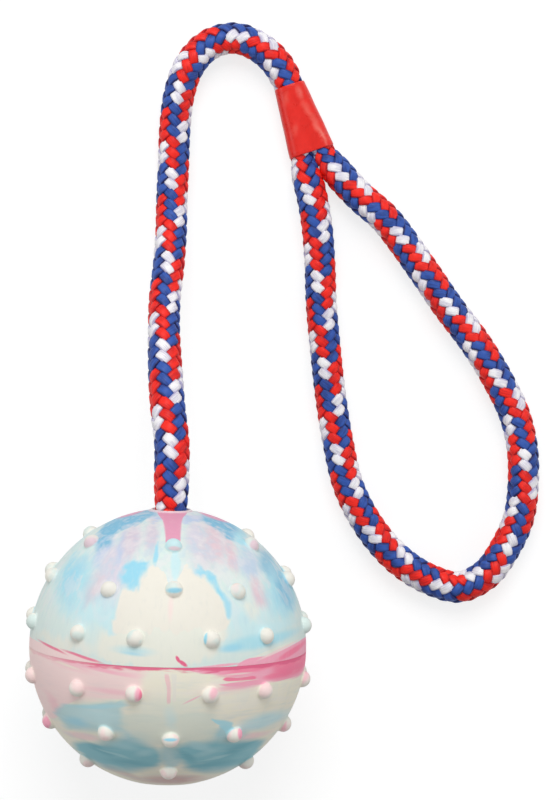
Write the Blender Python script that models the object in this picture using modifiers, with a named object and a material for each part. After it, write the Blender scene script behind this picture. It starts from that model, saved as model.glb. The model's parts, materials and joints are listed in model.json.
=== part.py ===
"""A ball on a rope, lying flat on the ground.

The ball is moulded in two halves with round nubs. A braided rope runs through its bore and is stopped by an
overhand knot in a recess at the far pole. The rope's other end turns back as a hand loop, and a shrunk
sleeve holds it beside the standing run. Metres, +Z up, the rope leaves the ball towards +Y, and the origin
is on the ground under the ball's centre.
"""

import math

import bmesh
import bpy
import numpy as np
from mathutils import Matrix, Vector

MM = 0.001

# The ball, about its own Z, which is the bore's axis
BALL_DIAMETER = 57.0 * MM
PARTING_GAP = 0.3 * MM
NUB_RADIUS = 1.75 * MM
NUB_SINK = 0.05 * MM
LIP_RADIUS = 0.3 * MM
RECESS_MOUTH_DIAMETER = 14.0 * MM
RECESS_DIAMETER = 17.0 * MM
RECESS_DEPTH = 20.0 * MM
RECESS_LIP_RADIUS = 0.6 * MM
RECESS_CORNER_RADIUS = 1.5 * MM

# Nubs: degrees of latitude from the equator, and of longitude from the side that faces up. Each place is
# repeated in the planes of symmetry.
NUB_PLACES = (
    (11.2, (15.7, 42.0, 80.0)),
    (31.8, (0.0,)),
    (30.3, (31.3,)),
    (31.5, (79.0,)),
    (53.0, (0.0,)),
    (51.0, (64.0,)),
)

# How the ball lies, in degrees: the bore's mouth raised, turned aside, and the ball spun on the rope
BALL_TILT = 4.4
BALL_YAW = -1.4
BALL_SPIN = 4.0

# The rope
ROPE_DIAMETER = 6.7 * MM
ROPE_SWELL_DIAMETER = 7.4 * MM
SWELL_START = 5.0 * MM
SWELL_END = 28.0 * MM
SWELL_FADE = 12.0 * MM
ROPE_POINT_SPACING = 6.7 * MM
NECK_LENGTH = 17.0 * MM
RUNNING_CLEARANCE = 0.3 * MM
JOIN_GAP = 0.3 * MM
FLOOR_GAP = 0.05 * MM
KNOT_GAP = 0.45 * MM
KNOT_TAIL = 1.2 * MM
KNOT_TAPER_LENGTH = 8.0 * MM
MELT_LENGTH = 0.8 * MM
MELT_SHARE = 0.5

# How the stopper knot is drawn tight. These shares are of its rope's diameter.
TREFOIL_SIZE_SHARE = 2.6
TREFOIL_LEAD_SHARE = 6.0
KNOT_HALF_HEIGHT_SHARE = 3.0
KNOT_SPARE_SHARE = 10.0
KNOT_SPACING_SHARE = 1.1
KNOT_NEIGHBOUR_SHARE = 2.0
KNOT_APART_SHARE = 1.9
OPEN_ROOM_SHARE = 8.0
KNOT_ROOM_SHARE = 1.25
KNOT_ROOF_SHARE = 1.3
KNOT_LEAD_SHARE = 0.4

# These are shares of a round's moves, and of all the rounds.
DRAWN_ROUNDS_SHARE = 0.7
STRETCH_SHARE = 0.5
PUSH_SHARE = 0.25
SMOOTH_SHARE = 0.15
STRAIGHTEN_SHARE = 0.6
KNOT_ROUND_COUNT = 300
MOVE_COUNT = 6

# The sleeve: outer sizes where the stem goes in and at the mouth that the loop leaves
SLEEVE_LENGTH = 15.0 * MM
SLEEVE_TOP_WIDTH = 6.7 * MM
SLEEVE_TOP_HEIGHT = 6.4 * MM
SLEEVE_TOP_CORNER = 2.9 * MM
SLEEVE_MOUTH_WIDTH = 9.9 * MM
SLEEVE_MOUTH_HEIGHT = 5.9 * MM
SLEEVE_MOUTH_CORNER = 2.7 * MM
SLEEVE_WALL = 0.5 * MM
SLEEVE_MOUTH_X = 29.9 * MM
SLEEVE_MOUTH_Y = 103.7 * MM
SLEEVE_TURN = 18.8
SLEEVE_ROPE_POINTS = 4
GAPS_ACROSS_COUNT = 3
STEM_SEAT_DEPTH = 0.6 * MM
STEM_SQUEEZE_LENGTH = 5.0 * MM
LOOP_SQUEEZE_LENGTH = 10.0 * MM
LOOP_STRAIGHT = 1.5 * MM
TAIL_START_SHARE = 0.4

# The rope's route: x, y, and how far its underside is off the ground
STEM_ROUTE = (
    (0.9 * MM, 41.4 * MM, 27.7 * MM),
    (-0.1 * MM, 49.6 * MM, 24.7 * MM),
    (-0.7 * MM, 57.2 * MM, 20.7 * MM),
    (-1.1 * MM, 64.9 * MM, 16.2 * MM),
    (-1.1 * MM, 72.0 * MM, 11.7 * MM),
    (-0.4 * MM, 79.2 * MM, 7.6 * MM),
    (0.0 * MM, 86.2 * MM, 4.3 * MM),
    (0.1 * MM, 93.4 * MM, 1.8 * MM),
    (0.4 * MM, 101.0 * MM, 0.4 * MM),
    (0.7 * MM, 109.0 * MM, 0.0 * MM),
    (1.6 * MM, 116.0 * MM, 0.0 * MM),
    (3.7 * MM, 122.0 * MM, 0.0 * MM),
    (7.8 * MM, 126.2 * MM, 0.0 * MM),
    (13.4 * MM, 127.6 * MM, 0.0 * MM),
    (18.9 * MM, 125.6 * MM, 0.0 * MM),
    (22.6 * MM, 122.4 * MM, 0.0 * MM),
)
LOOP_ROUTE = (
    (28.5 * MM, 99.2 * MM, 0.0 * MM),
    (29.5 * MM, 95.6 * MM, 0.0 * MM),
    (30.9 * MM, 88.5 * MM, 0.0 * MM),
    (31.6 * MM, 80.0 * MM, 0.0 * MM),
    (31.9 * MM, 71.4 * MM, 0.0 * MM),
    (32.8 * MM, 61.5 * MM, 0.0 * MM),
    (33.9 * MM, 51.5 * MM, 0.0 * MM),
    (35.5 * MM, 41.7 * MM, 0.0 * MM),
    (37.9 * MM, 31.9 * MM, 0.0 * MM),
    (40.8 * MM, 26.0 * MM, 0.0 * MM),
    (44.7 * MM, 20.5 * MM, 0.0 * MM),
    (49.4 * MM, 15.9 * MM, 0.0 * MM),
    (55.1 * MM, 12.5 * MM, 0.0 * MM),
    (61.4 * MM, 10.9 * MM, 0.0 * MM),
    (67.0 * MM, 13.6 * MM, 0.0 * MM),
    (71.1 * MM, 19.2 * MM, 0.0 * MM),
    (73.9 * MM, 25.3 * MM, 0.0 * MM),
    (75.0 * MM, 33.5 * MM, 0.0 * MM),
    (74.6 * MM, 41.8 * MM, 0.0 * MM),
    (72.9 * MM, 48.3 * MM, 0.0 * MM),
    (70.0 * MM, 54.3 * MM, 0.0 * MM),
    (64.9 * MM, 62.8 * MM, 0.0 * MM),
    (58.9 * MM, 70.8 * MM, 0.0 * MM),
    (53.3 * MM, 79.0 * MM, 0.0 * MM),
    (49.4 * MM, 84.5 * MM, 0.0 * MM),
    (45.4 * MM, 89.6 * MM, 0.0 * MM),
    (40.6 * MM, 94.3 * MM, 0.0 * MM),
    (35.5 * MM, 99.9 * MM, 0.0 * MM),
)

# How finely the forms are faceted
TURN_STEPS = 48
LATITUDE_STEPS = 12
NUB_SEGMENTS = 10
NUB_RINGS = 8
ARC_STEPS = 4
ROPE_BEVEL_STEPS = 3
KNOT_BEVEL_STEPS = 2
KNOT_POINTS = 44
KNOT_START_POINTS = 64
KNOT_LEAD_POINTS = 8
TREFOIL_POINTS = 400
TREFOIL_END_SHARE = 2.15
SPLINE_STEPS = 32
FINE_STEPS = 4
SHARP_ANGLE = 40.0
QUARTER_TURN = 90.0
HALF_TURN = 180.0
TINY_SHARE = 1e-9
MERGE_DISTANCE = 0.01 * MM
EMPTY_SIZE = 10.0 * MM

BALL_RADIUS = BALL_DIAMETER / 2
ROPE_RADIUS = ROPE_DIAMETER / 2
BORE_RADIUS = ROPE_RADIUS + RUNNING_CLEARANCE
NUB_CENTRE_RADIUS = BALL_RADIUS - NUB_SINK
RECESS_TOP = RECESS_DEPTH - BALL_RADIUS
GROUND_TO_ROPE = ROPE_RADIUS + FLOOR_GAP


def clear_scene():
    for obj in list(bpy.data.objects):
        bpy.data.objects.remove(obj, do_unlink=True)


def new_collection(name):
    collection = bpy.data.collections.new(name)
    bpy.context.scene.collection.children.link(collection)
    return collection


def new_material(name, color, roughness):
    material = bpy.data.materials.new(name)
    material.use_nodes = True
    shader = material.node_tree.nodes["Principled BSDF"]
    shader.inputs["Base Color"].default_value = (*color, 1.0)
    shader.inputs["Roughness"].default_value = roughness
    shader.inputs["Metallic"].default_value = 0.0
    material.diffuse_color = (*color, 1.0)
    return material


def new_empty(name, matrix, collection, parent=None):
    empty = bpy.data.objects.new(name, None)
    empty.empty_display_size = EMPTY_SIZE
    collection.objects.link(empty)
    if parent:
        empty.parent = parent
    empty.matrix_world = matrix
    bpy.context.view_layer.update()
    return empty


def hold(obj, parent):
    """Parents an object that is already in place, and leaves it there."""
    obj.parent = parent
    obj.matrix_parent_inverse = parent.matrix_world.inverted()


# The ball

def on_sphere(latitude, longitude):
    """The unit vector of a place on the ball: latitude from the equator, longitude from the side facing up."""
    north, east = math.radians(latitude), math.radians(longitude)
    return Vector(
        (math.sin(east) * math.cos(north), -math.cos(east) * math.cos(north), math.sin(north))
    )


def nub_directions(side):
    """Every nub of the half on this side of the equator, +1 or -1, as unit vectors."""
    found = []
    for latitude, longitudes in NUB_PLACES:
        for longitude in longitudes:
            turns = {longitude, -longitude, HALF_TURN - longitude, longitude - HALF_TURN}
            if longitude == 0.0:
                turns = {0.0, HALF_TURN}
            found += [on_sphere(side * latitude, turn) for turn in sorted(turns)]
    return found


def ball_turn():
    """The ball's own axes in the world: its Z is the bore, and its -Y is the side that faces up."""
    upright = Matrix.Rotation(math.radians(-QUARTER_TURN), 4, "X")
    spun = Matrix.Rotation(math.radians(BALL_SPIN), 4, "Y")
    tilted = Matrix.Rotation(math.radians(BALL_TILT), 4, "X")
    aside = Matrix.Rotation(math.radians(BALL_YAW), 4, "Z")
    return aside @ tilted @ spun @ upright


def rest_height():
    """How high the ball's centre is when its lowest nub touches the ground."""
    turn = ball_turn()
    nubs = nub_directions(1) + nub_directions(-1)
    lowest = max(-(turn @ nub).z for nub in nubs)
    return max(BALL_RADIUS, NUB_CENTRE_RADIUS * lowest + NUB_RADIUS)


def ball_place():
    return Matrix.Translation((0, 0, rest_height())) @ ball_turn()


def arc(centre, radius, start, end, steps=ARC_STEPS):
    """Points (radius, height) on an arc, from one angle to the other in degrees."""
    angles = np.radians(np.linspace(start, end, steps + 1))
    return [(centre[0] + radius * math.cos(a), centre[1] + radius * math.sin(a)) for a in angles]


def sphere_height(radius):
    return math.sqrt(BALL_RADIUS**2 - radius**2)


def sphere_arc(top_radius, side):
    """The ball's own outline between a ring near the pole and the parting face, from the pole outwards."""
    high = math.acos(top_radius / BALL_RADIUS)
    low = math.asin(PARTING_GAP / 2 / BALL_RADIUS)
    angles = np.linspace(high, low, LATITUDE_STEPS + 1)
    return [(BALL_RADIUS * math.cos(a), side * BALL_RADIUS * math.sin(a)) for a in angles]


def upper_outline():
    """Bead lip round the rope's hole, the sphere, the parting face, and back up the bore."""
    bead = BORE_RADIUS + LIP_RADIUS
    lip = arc((bead, sphere_height(bead)), LIP_RADIUS, HALF_TURN, 0.0)
    sphere = sphere_arc(bead + 2 * LIP_RADIUS, 1)
    return lip + sphere + [(BORE_RADIUS, PARTING_GAP / 2)]


def lower_outline():
    """The sphere down to the recess, its rounded lip, the recess, and back up the bore."""
    mouth = RECESS_MOUTH_DIAMETER / 2
    wide = RECESS_DIAMETER / 2
    lip_centre = (mouth + RECESS_LIP_RADIUS, -sphere_height(mouth + RECESS_LIP_RADIUS) + RECESS_LIP_RADIUS)
    sphere = sphere_arc(mouth + 2 * RECESS_LIP_RADIUS, -1)[::-1]
    lip = arc(lip_centre, RECESS_LIP_RADIUS, -QUARTER_TURN, -QUARTER_TURN - HALF_TURN)
    neck = (wide, lip_centre[1] + RECESS_LIP_RADIUS + (wide - mouth))
    corner = arc(
        (wide - RECESS_CORNER_RADIUS, RECESS_TOP - RECESS_CORNER_RADIUS),
        RECESS_CORNER_RADIUS,
        0.0,
        QUARTER_TURN,
    )
    bore = [(BORE_RADIUS, RECESS_TOP), (BORE_RADIUS, -PARTING_GAP / 2)]
    return sphere + lip + [neck] + corner + bore


def turned(name, outline, collection):
    """A closed outline of (radius, height), down its outer side, turned about the object's Z."""
    mesh = bpy.data.meshes.new(name)
    count = len(outline)
    mesh.from_pydata([(r, 0, z) for r, z in outline], [(i, (i + 1) % count) for i in range(count)], [])
    obj = bpy.data.objects.new(name, mesh)
    collection.objects.link(obj)
    screw = obj.modifiers.new("Turned", "SCREW")
    screw.steps = TURN_STEPS
    screw.render_steps = TURN_STEPS
    screw.use_merge_vertices = True
    screw.merge_threshold = MERGE_DISTANCE
    screw.use_smooth_shade = True
    return obj


def nub_spheres(name, side, collection):
    """One mesh of all the nubs of a half, each a sphere with its pole pointing out."""
    work = bmesh.new()
    for direction in nub_directions(side):
        place = Matrix.Translation(direction * NUB_CENTRE_RADIUS)
        outward = direction.to_track_quat("Z", "Y").to_matrix().to_4x4()
        bmesh.ops.create_uvsphere(
            work, u_segments=NUB_SEGMENTS, v_segments=NUB_RINGS, radius=NUB_RADIUS, matrix=place @ outward
        )
    mesh = bpy.data.meshes.new(name)
    work.to_mesh(mesh)
    work.free()
    mesh.shade_smooth()
    obj = bpy.data.objects.new(name, mesh)
    obj.hide_render = True
    obj.display_type = "WIRE"
    collection.objects.link(obj)
    return obj


def ball_half(name, outline, side, material, parts, cutters, axis):
    half = turned(name, outline, parts)
    nubs = nub_spheres(name + "_nubs", side, cutters)
    half.parent = axis
    nubs.parent = axis
    join = half.modifiers.new("Nubs", "BOOLEAN")
    join.operation = "UNION"
    join.object = nubs
    half.data.materials.append(material)
    return half


# The rope

def smooth_line(route, spacing, start=None, end=None):
    """Points at an even spacing on a smooth curve through the route, with the end directions if given."""
    route = np.array(route, float)
    step = np.linalg.norm(np.diff(route, axis=0), axis=1)
    slope = np.diff(route, axis=0) / step[:, None]
    inner = (slope[1:] * step[:-1, None] + slope[:-1] * step[1:, None]) / (step[1:] + step[:-1])[:, None]
    first = slope[0] if start is None else np.array(start)
    last = slope[-1] if end is None else np.array(end)
    tangent = np.vstack([first, inner, last])
    t = np.linspace(0, 1, SPLINE_STEPS, endpoint=False)[:, None]
    line = []
    for k, length in enumerate(step):
        line.append(
            (1 + 2 * t) * (1 - t) ** 2 * route[k]
            + t * (1 - t) ** 2 * length * tangent[k]
            + t**2 * (3 - 2 * t) * route[k + 1]
            + t**2 * (t - 1) * length * tangent[k + 1]
        )
    line = np.vstack(line + [route[-1:]])
    along = distances(line)
    count = max(2, round(along[-1] / spacing)) + 1
    return at_distances(line, np.linspace(0, along[-1], count))


def distances(line):
    return np.concatenate([[0.0], np.cumsum(np.linalg.norm(np.diff(line, axis=0), axis=1))])


def at_distances(line, wanted):
    along = distances(line)
    return np.stack([np.interp(wanted, along, line[:, k]) for k in range(3)], axis=1)


def rope(name, points, radii, material, collection, bevel=ROPE_BEVEL_STEPS):
    """A round rope along the points, with its own radius at each of them."""
    curve = bpy.data.curves.new(name, "CURVE")
    curve.dimensions = "3D"
    curve.bevel_depth = ROPE_RADIUS
    curve.bevel_resolution = bevel
    curve.use_fill_caps = True
    spline = curve.splines.new("POLY")
    spline.points.add(len(points) - 1)
    for target, point, radius in zip(spline.points, points, radii):
        target.co = (*point, 1.0)
        target.radius = radius / ROPE_RADIUS
    spline.use_smooth = True
    curve.materials.append(material)
    obj = bpy.data.objects.new(name, curve)
    collection.objects.link(obj)
    return obj


def squeezed(radius, end_radius, distance, length):
    """The rope's radius as it opens out from a squeezed end."""
    share = np.clip(distance / length, 0.0, 1.0)
    return end_radius + (radius - end_radius) * (1 - (1 - share) ** 2)


def overhand_knot():
    """The middle line of an overhand knot, in diameters of its rope, on the Z axis.

    It starts as a long open trefoil, the plainest curve of polynomials that is this knot. Then it is drawn
    tight in small steps, which keep each piece of rope at its length, off its neighbours, inside a round
    recess and straight at the two ends.
    """
    count = KNOT_START_POINTS
    u = np.linspace(-TREFOIL_END_SHARE, TREFOIL_END_SHARE, TREFOIL_POINTS)
    trefoil = np.stack([u**3 - 3 * u, u**4 - 4 * u**2 + 1.6, u**5 / 5 - 2 * u], axis=1) * TREFOIL_SIZE_SHARE
    first_half_height = trefoil[-1, 2] + TREFOIL_LEAD_SHARE
    line = np.vstack([[(0, 0, -first_half_height)], trefoil, [(0, 0, first_half_height)]])
    first_length = distances(line)[-1]
    p = at_distances(line, np.linspace(0, first_length, count))
    i, j = np.triu_indices(count, 1)
    last_length = 2 * KNOT_HALF_HEIGHT_SHARE + KNOT_SPARE_SHARE
    for turn in range(KNOT_ROUND_COUNT):
        drawn = min(1.0, turn / (KNOT_ROUND_COUNT * DRAWN_ROUNDS_SHARE))
        height = first_half_height + (KNOT_HALF_HEIGHT_SHARE - first_half_height) * drawn
        segment = (first_length + (last_length - first_length) * drawn) / (count - 1)
        wide = OPEN_ROOM_SHARE + (KNOT_ROOM_SHARE - OPEN_ROOM_SHARE) * drawn
        tall = first_half_height + (KNOT_ROOF_SHARE - first_half_height) * drawn
        apart = (j - i) * segment > KNOT_NEIGHBOUR_SHARE
        a, b = i[apart], j[apart]
        straight = max(2, int((height - tall - KNOT_LEAD_SHARE) / segment))
        for _ in range(MOVE_COUNT):
            for first in (0, 1):
                low, high = p[first:-1:2], p[first + 1 :: 2]
                reach = high - low
                long = np.linalg.norm(reach, axis=1, keepdims=True)
                move = reach * (1 - segment / np.maximum(long, TINY_SHARE)) * STRETCH_SHARE
                low += move
                high -= move
            reach = p[b] - p[a]
            long = np.linalg.norm(reach, axis=1, keepdims=True)
            near = np.minimum(0, long - KNOT_SPACING_SHARE)
            push = reach / np.maximum(long, TINY_SHARE) * near * PUSH_SHARE
            np.add.at(p, a, push)
            np.add.at(p, b, -push)
            p[1:-1] += ((p[:-2] + p[2:]) / 2 - p[1:-1]) * SMOOTH_SHARE
            out = np.hypot(p[:, 0], p[:, 1])
            p[:, :2] *= np.minimum(1, wide / np.maximum(out, TINY_SHARE))[:, None]
            body = slice(straight, count - straight)
            p[body, 2] = np.clip(p[body, 2], -tall, tall)
            p[:straight, :2] *= STRAIGHTEN_SHARE
            p[-straight:, :2] *= STRAIGHTEN_SHARE
            p[0] = (0, 0, -height)
            p[-1] = (0, 0, height)
    return p


def least_distance(line, apart):
    """How near the line comes to itself, between points more than this distance apart along it."""
    along = distances(line)
    fine = at_distances(line, np.linspace(0, along[-1], FINE_STEPS * len(line)))
    along = distances(fine)
    gaps = np.linalg.norm(fine[:, None] - fine[None], axis=2)
    return gaps[np.abs(along[:, None] - along[None]) > apart].min()


def knot_in_recess():
    """The knot's points about the ball's axis, its rope's radius, and the least gap to itself."""
    unit = overhand_knot()
    nearest = least_distance(unit, KNOT_APART_SHARE)
    widest = np.hypot(unit[:, 0], unit[:, 1]).max()
    room = RECESS_DIAMETER / 2 - RUNNING_CLEARANCE
    scale = (room + KNOT_GAP / 2) / (widest + nearest / 2)
    radius = (nearest * scale - KNOT_GAP) / 2
    points = unit * scale
    body_top = points[np.hypot(points[:, 0], points[:, 1]) > radius / 2, 2].max() + radius
    points[:, 2] += RECESS_TOP - RUNNING_CLEARANCE - body_top
    top = RECESS_TOP - JOIN_GAP / 2
    tail = points[np.hypot(points[:, 0], points[:, 1]) > radius / 2, 2].min() - radius - KNOT_TAIL
    along = distances(points)
    leads = [0, KNOT_LEAD_POINTS, -KNOT_LEAD_POINTS - 1, -1]
    ends = np.interp([tail, top], points[leads, 2], along[leads])
    points = at_distances(points, np.linspace(ends[0], ends[1], KNOT_POINTS))
    return points, radius, least_distance(points, KNOT_APART_SHARE * scale) - 2 * radius


def sleeve_place():
    turn = Matrix.Rotation(math.radians(SLEEVE_TURN), 4, "Z")
    return Matrix.Translation((SLEEVE_MOUTH_X, SLEEVE_MOUTH_Y, 0)) @ turn


def inner_half(share):
    """Half the sleeve's inner width, a share of the way from its top to its mouth."""
    width = SLEEVE_TOP_WIDTH + (SLEEVE_MOUTH_WIDTH - SLEEVE_TOP_WIDTH) * share
    return width / 2 - SLEEVE_WALL


def outer_height(share):
    return SLEEVE_TOP_HEIGHT + (SLEEVE_MOUTH_HEIGHT - SLEEVE_TOP_HEIGHT) * share


def both_radii(share):
    """What the gaps at both walls and between the two runs leave for the radii of the two."""
    return inner_half(share) - GAPS_ACROSS_COUNT * RUNNING_CLEARANCE / 2


def standing_radius(share):
    """The standing run fills the top, and takes half the mouth."""
    top = min(inner_half(0), outer_height(0) / 2 - SLEEVE_WALL) - RUNNING_CLEARANCE
    mouth = both_radii(1) / 2
    return top + (mouth - top) * share


def tail_radius(share):
    return both_radii(share) - standing_radius(share)


def in_sleeve(share, side):
    """A point of the standing run (side -1) or the tail (side +1), in the world."""
    radius = standing_radius(share) if side < 0 else tail_radius(share)
    across = side * (inner_half(share) - RUNNING_CLEARANCE - radius)
    place = sleeve_place() @ Vector((across, SLEEVE_LENGTH * (1 - share), outer_height(share) / 2))
    return tuple(place)


def direction(start, end):
    return np.array((Vector(end) - Vector(start)).normalized())


def stem_line(exit_point, exit_direction):
    """The free run from the ball to just inside the sleeve, and its radius at each point."""
    seat_share = STEM_SEAT_DEPTH / SLEEVE_LENGTH
    start = exit_point + exit_direction * (JOIN_GAP / 2)
    straight = exit_point + exit_direction * ROPE_DIAMETER
    top, seat = in_sleeve(0, -1), in_sleeve(seat_share, -1)
    free = [(x, y, lift + GROUND_TO_ROPE) for x, y, lift in STEM_ROUTE]
    points = smooth_line(
        [start, straight, *free, top],
        ROPE_POINT_SPACING,
        start=exit_direction,
        end=direction(top, seat),
    )
    points = np.vstack([points, seat])
    along = distances(points)
    swell = (ROPE_SWELL_DIAMETER - ROPE_DIAMETER) / 2
    places = (0, SWELL_START, SWELL_END, SWELL_END + SWELL_FADE)
    radii = ROPE_RADIUS + np.interp(along, places, (0, swell, swell, 0))
    from_seat = along[-1] - along
    return points, squeezed(radii, standing_radius(seat_share), from_seat, STEM_SQUEEZE_LENGTH)


def cut_in_two(points, radii, place):
    """The points and radii of a rope's runs before and after a place along it, with the joining gap between."""
    along = distances(points)
    before = np.append(along[along < place - JOIN_GAP], place - JOIN_GAP / 2)
    after = np.append(place + JOIN_GAP / 2, along[along > place + JOIN_GAP])
    return [(at_distances(points, part), np.interp(part, along, radii)) for part in (before, after)]


def loop_end(side):
    """The first two points of the loop outside the mouth, on one side, in line with the run in the sleeve."""
    mouth = np.array(in_sleeve(1, side))
    outward = direction(in_sleeve(TAIL_START_SHARE, side), mouth)
    return mouth + outward * JOIN_GAP / 2, mouth + outward * (JOIN_GAP / 2 + LOOP_STRAIGHT), outward


def loop_line():
    """The hand loop, from the standing run's side of the sleeve's mouth round to the tail's side."""
    first, second, away = loop_end(-1)
    last, before, back = loop_end(1)
    free = [(x, y, lift + GROUND_TO_ROPE) for x, y, lift in LOOP_ROUTE]
    points = smooth_line([second, *free, before], ROPE_POINT_SPACING, start=away, end=-back)
    points = np.vstack([first, points, last])
    along = distances(points)
    from_straight = np.minimum(along, along[-1] - along) - LOOP_STRAIGHT
    return points, squeezed(ROPE_RADIUS, standing_radius(1), from_straight, LOOP_SQUEEZE_LENGTH)


# The sleeve

def rounded_section(width, height, corner, middle, steps=ARC_STEPS):
    """A rectangle with round corners, as (across, up) points, anticlockwise from the lower right."""
    points = []
    for quarter, (side_x, side_z) in enumerate(((1, -1), (1, 1), (-1, 1), (-1, -1))):
        start = (quarter - 1) * QUARTER_TURN
        centre = (side_x * (width / 2 - corner), middle + side_z * (height / 2 - corner))
        points += arc(centre, corner, start, start + QUARTER_TURN, steps)
    return points


def sleeve(name, material, collection):
    """A thin tube lofted from the nearly round top to the flat mouth, with its underside on the ground."""
    work = bmesh.new()
    rings = []
    for y, width, height, corner in (
        (SLEEVE_LENGTH, SLEEVE_TOP_WIDTH, SLEEVE_TOP_HEIGHT, SLEEVE_TOP_CORNER),
        (0, SLEEVE_MOUTH_WIDTH, SLEEVE_MOUTH_HEIGHT, SLEEVE_MOUTH_CORNER),
    ):
        for wall in (0, SLEEVE_WALL):
            section = rounded_section(width - 2 * wall, height - 2 * wall, corner - wall, height / 2)
            rings.append([work.verts.new((x, y, z)) for x, z in section])
    outer_top, inner_top, outer_mouth, inner_mouth = rings
    for one, other in (
        (outer_top, outer_mouth),
        (outer_mouth, inner_mouth),
        (inner_mouth, inner_top),
        (inner_top, outer_top),
    ):
        for k in range(len(one)):
            n = (k + 1) % len(one)
            work.faces.new((one[k], one[n], other[n], other[k]))
    bmesh.ops.recalc_face_normals(work, faces=work.faces)
    mesh = bpy.data.meshes.new(name)
    work.to_mesh(mesh)
    work.free()
    mesh.shade_smooth()
    mesh.set_sharp_from_angle(angle=math.radians(SHARP_ANGLE))
    mesh.materials.append(material)
    obj = bpy.data.objects.new(name, mesh)
    collection.objects.link(obj)
    return obj


def build():
    clear_scene()
    parts = new_collection("ball_on_rope")
    cutters = new_collection("cutters")

    cream_blue = new_material("marbled_rubber_upper", (0.76, 0.83, 0.84), 0.5)
    cream_pink = new_material("marbled_rubber_lower", (0.78, 0.66, 0.66), 0.5)
    braid = new_material("braided_rope", (0.10, 0.17, 0.47), 0.6)
    braid_end = new_material("melted_rope", (0.16, 0.07, 0.18), 0.4)
    red_sleeve = new_material("red_sleeve", (0.74, 0.03, 0.02), 0.3)

    # Joint axes: the ball swings where the rope leaves it, and spins on the rope
    place = ball_place()
    exit_point = place @ Vector((0, 0, BALL_RADIUS))
    exit_direction = place.to_3x3() @ Vector((0, 0, 1))
    swing = new_empty("ball_swing_axis", Matrix.Translation(exit_point), parts)
    core = new_empty("rope_core_frame", place, parts, swing)
    spin = new_empty("ball_spin_axis", place, parts, core)
    mouth_height = Matrix.Translation((0, 0, SLEEVE_MOUTH_HEIGHT / 2))
    lift = new_empty("loop_lift_axis", mouth_height @ sleeve_place(), parts)

    ball_half("ball_upper_half", upper_outline(), 1, cream_blue, parts, cutters, spin)
    ball_half("ball_lower_half", lower_outline(), -1, cream_pink, parts, cutters, spin)

    knot_points, knot_radius, knot_gap = knot_in_recess()
    print(f"least gap of the knot to itself: {knot_gap / MM:.2f} mm, its rope {2 * knot_radius / MM:.2f} mm")
    melted = squeezed(knot_radius, knot_radius * MELT_SHARE, distances(knot_points), MELT_LENGTH)
    knot = rope("stopper_knot", knot_points, melted, braid, parts, KNOT_BEVEL_STEPS)
    knot.parent = core

    ends = (RECESS_TOP + JOIN_GAP / 2, BALL_RADIUS - JOIN_GAP / 2)
    narrow = RECESS_TOP + KNOT_TAPER_LENGTH
    core_points = [(0, 0, ends[0]), (0, 0, narrow), (0, 0, ends[1])]
    inside = rope("rope_in_ball", core_points, (knot_radius, ROPE_RADIUS, ROPE_RADIUS), braid, parts)
    inside.parent = core

    # The neck bends as the ball swings, and the stem lies still
    stem_points, stem_radii = stem_line(exit_point, exit_direction)
    neck, stem = cut_in_two(stem_points, stem_radii, NECK_LENGTH)
    rope("rope_neck", *neck, braid, parts)
    rope("rope_stem", *stem, braid, parts)

    loop_points, loop_radii = loop_line()
    loop = rope("rope_loop", loop_points, loop_radii, braid, parts)
    hold(loop, lift)

    seat_share = STEM_SEAT_DEPTH / SLEEVE_LENGTH
    gap_share = JOIN_GAP / SLEEVE_LENGTH
    shares = np.linspace(seat_share + gap_share, 1 - gap_share / 2, SLEEVE_ROPE_POINTS)
    rope(
        "rope_in_sleeve",
        [in_sleeve(share, -1) for share in shares],
        [standing_radius(share) for share in shares],
        braid,
        parts,
    )
    shares = np.linspace(TAIL_START_SHARE, 1 - gap_share / 2, SLEEVE_ROPE_POINTS)
    rope(
        "rope_tail_end",
        [in_sleeve(share, 1) for share in shares],
        [tail_radius(share) for share in shares],
        braid_end,
        parts,
    )

    tube = sleeve("shrink_sleeve", red_sleeve, parts)
    tube.matrix_world = sleeve_place()

    print(f"ball centre {rest_height() / MM:.2f} mm up, rope leaves at {[round(v / MM, 2) for v in exit_point]} mm")
    print(f"stem {distances(stem_points)[-1] / MM:.1f} mm, loop {distances(loop_points)[-1] / MM:.1f} mm")


build()
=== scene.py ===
import json
import math
from functools import partial

import bmesh
import bpy
import numpy as np
from mathutils import Matrix, Vector, noise
from mathutils.geometry import delaunay_2d_cdt


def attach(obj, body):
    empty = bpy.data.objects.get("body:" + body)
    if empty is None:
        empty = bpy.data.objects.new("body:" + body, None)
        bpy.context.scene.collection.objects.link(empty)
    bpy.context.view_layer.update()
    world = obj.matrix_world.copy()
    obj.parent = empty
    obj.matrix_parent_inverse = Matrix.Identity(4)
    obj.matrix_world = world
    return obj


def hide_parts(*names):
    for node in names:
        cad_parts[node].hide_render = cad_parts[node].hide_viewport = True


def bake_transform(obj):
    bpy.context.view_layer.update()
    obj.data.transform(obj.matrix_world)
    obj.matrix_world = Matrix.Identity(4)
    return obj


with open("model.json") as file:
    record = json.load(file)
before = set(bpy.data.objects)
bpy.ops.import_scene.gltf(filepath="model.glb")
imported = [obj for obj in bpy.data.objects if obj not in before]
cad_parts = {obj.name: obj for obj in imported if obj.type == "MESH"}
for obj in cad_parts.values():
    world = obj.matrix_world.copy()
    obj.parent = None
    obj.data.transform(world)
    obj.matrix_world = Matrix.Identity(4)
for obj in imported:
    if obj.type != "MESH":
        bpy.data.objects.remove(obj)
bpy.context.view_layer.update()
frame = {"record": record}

bl_info = {
    "name": "Ball on a rope",
    "version": (1, 0, 0),
    "blender": (4, 5, 0),
    "location": "3D View > Sidebar > Rope toy",
    "description": "Dresses a nubbed rubber ball on a braided rope that ends in a hand loop",
    "category": "Object",
}

MM = 0.001
JOINTS = {joint["name"]: joint for joint in frame["record"]["behaviour"]["joints"]}

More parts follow.
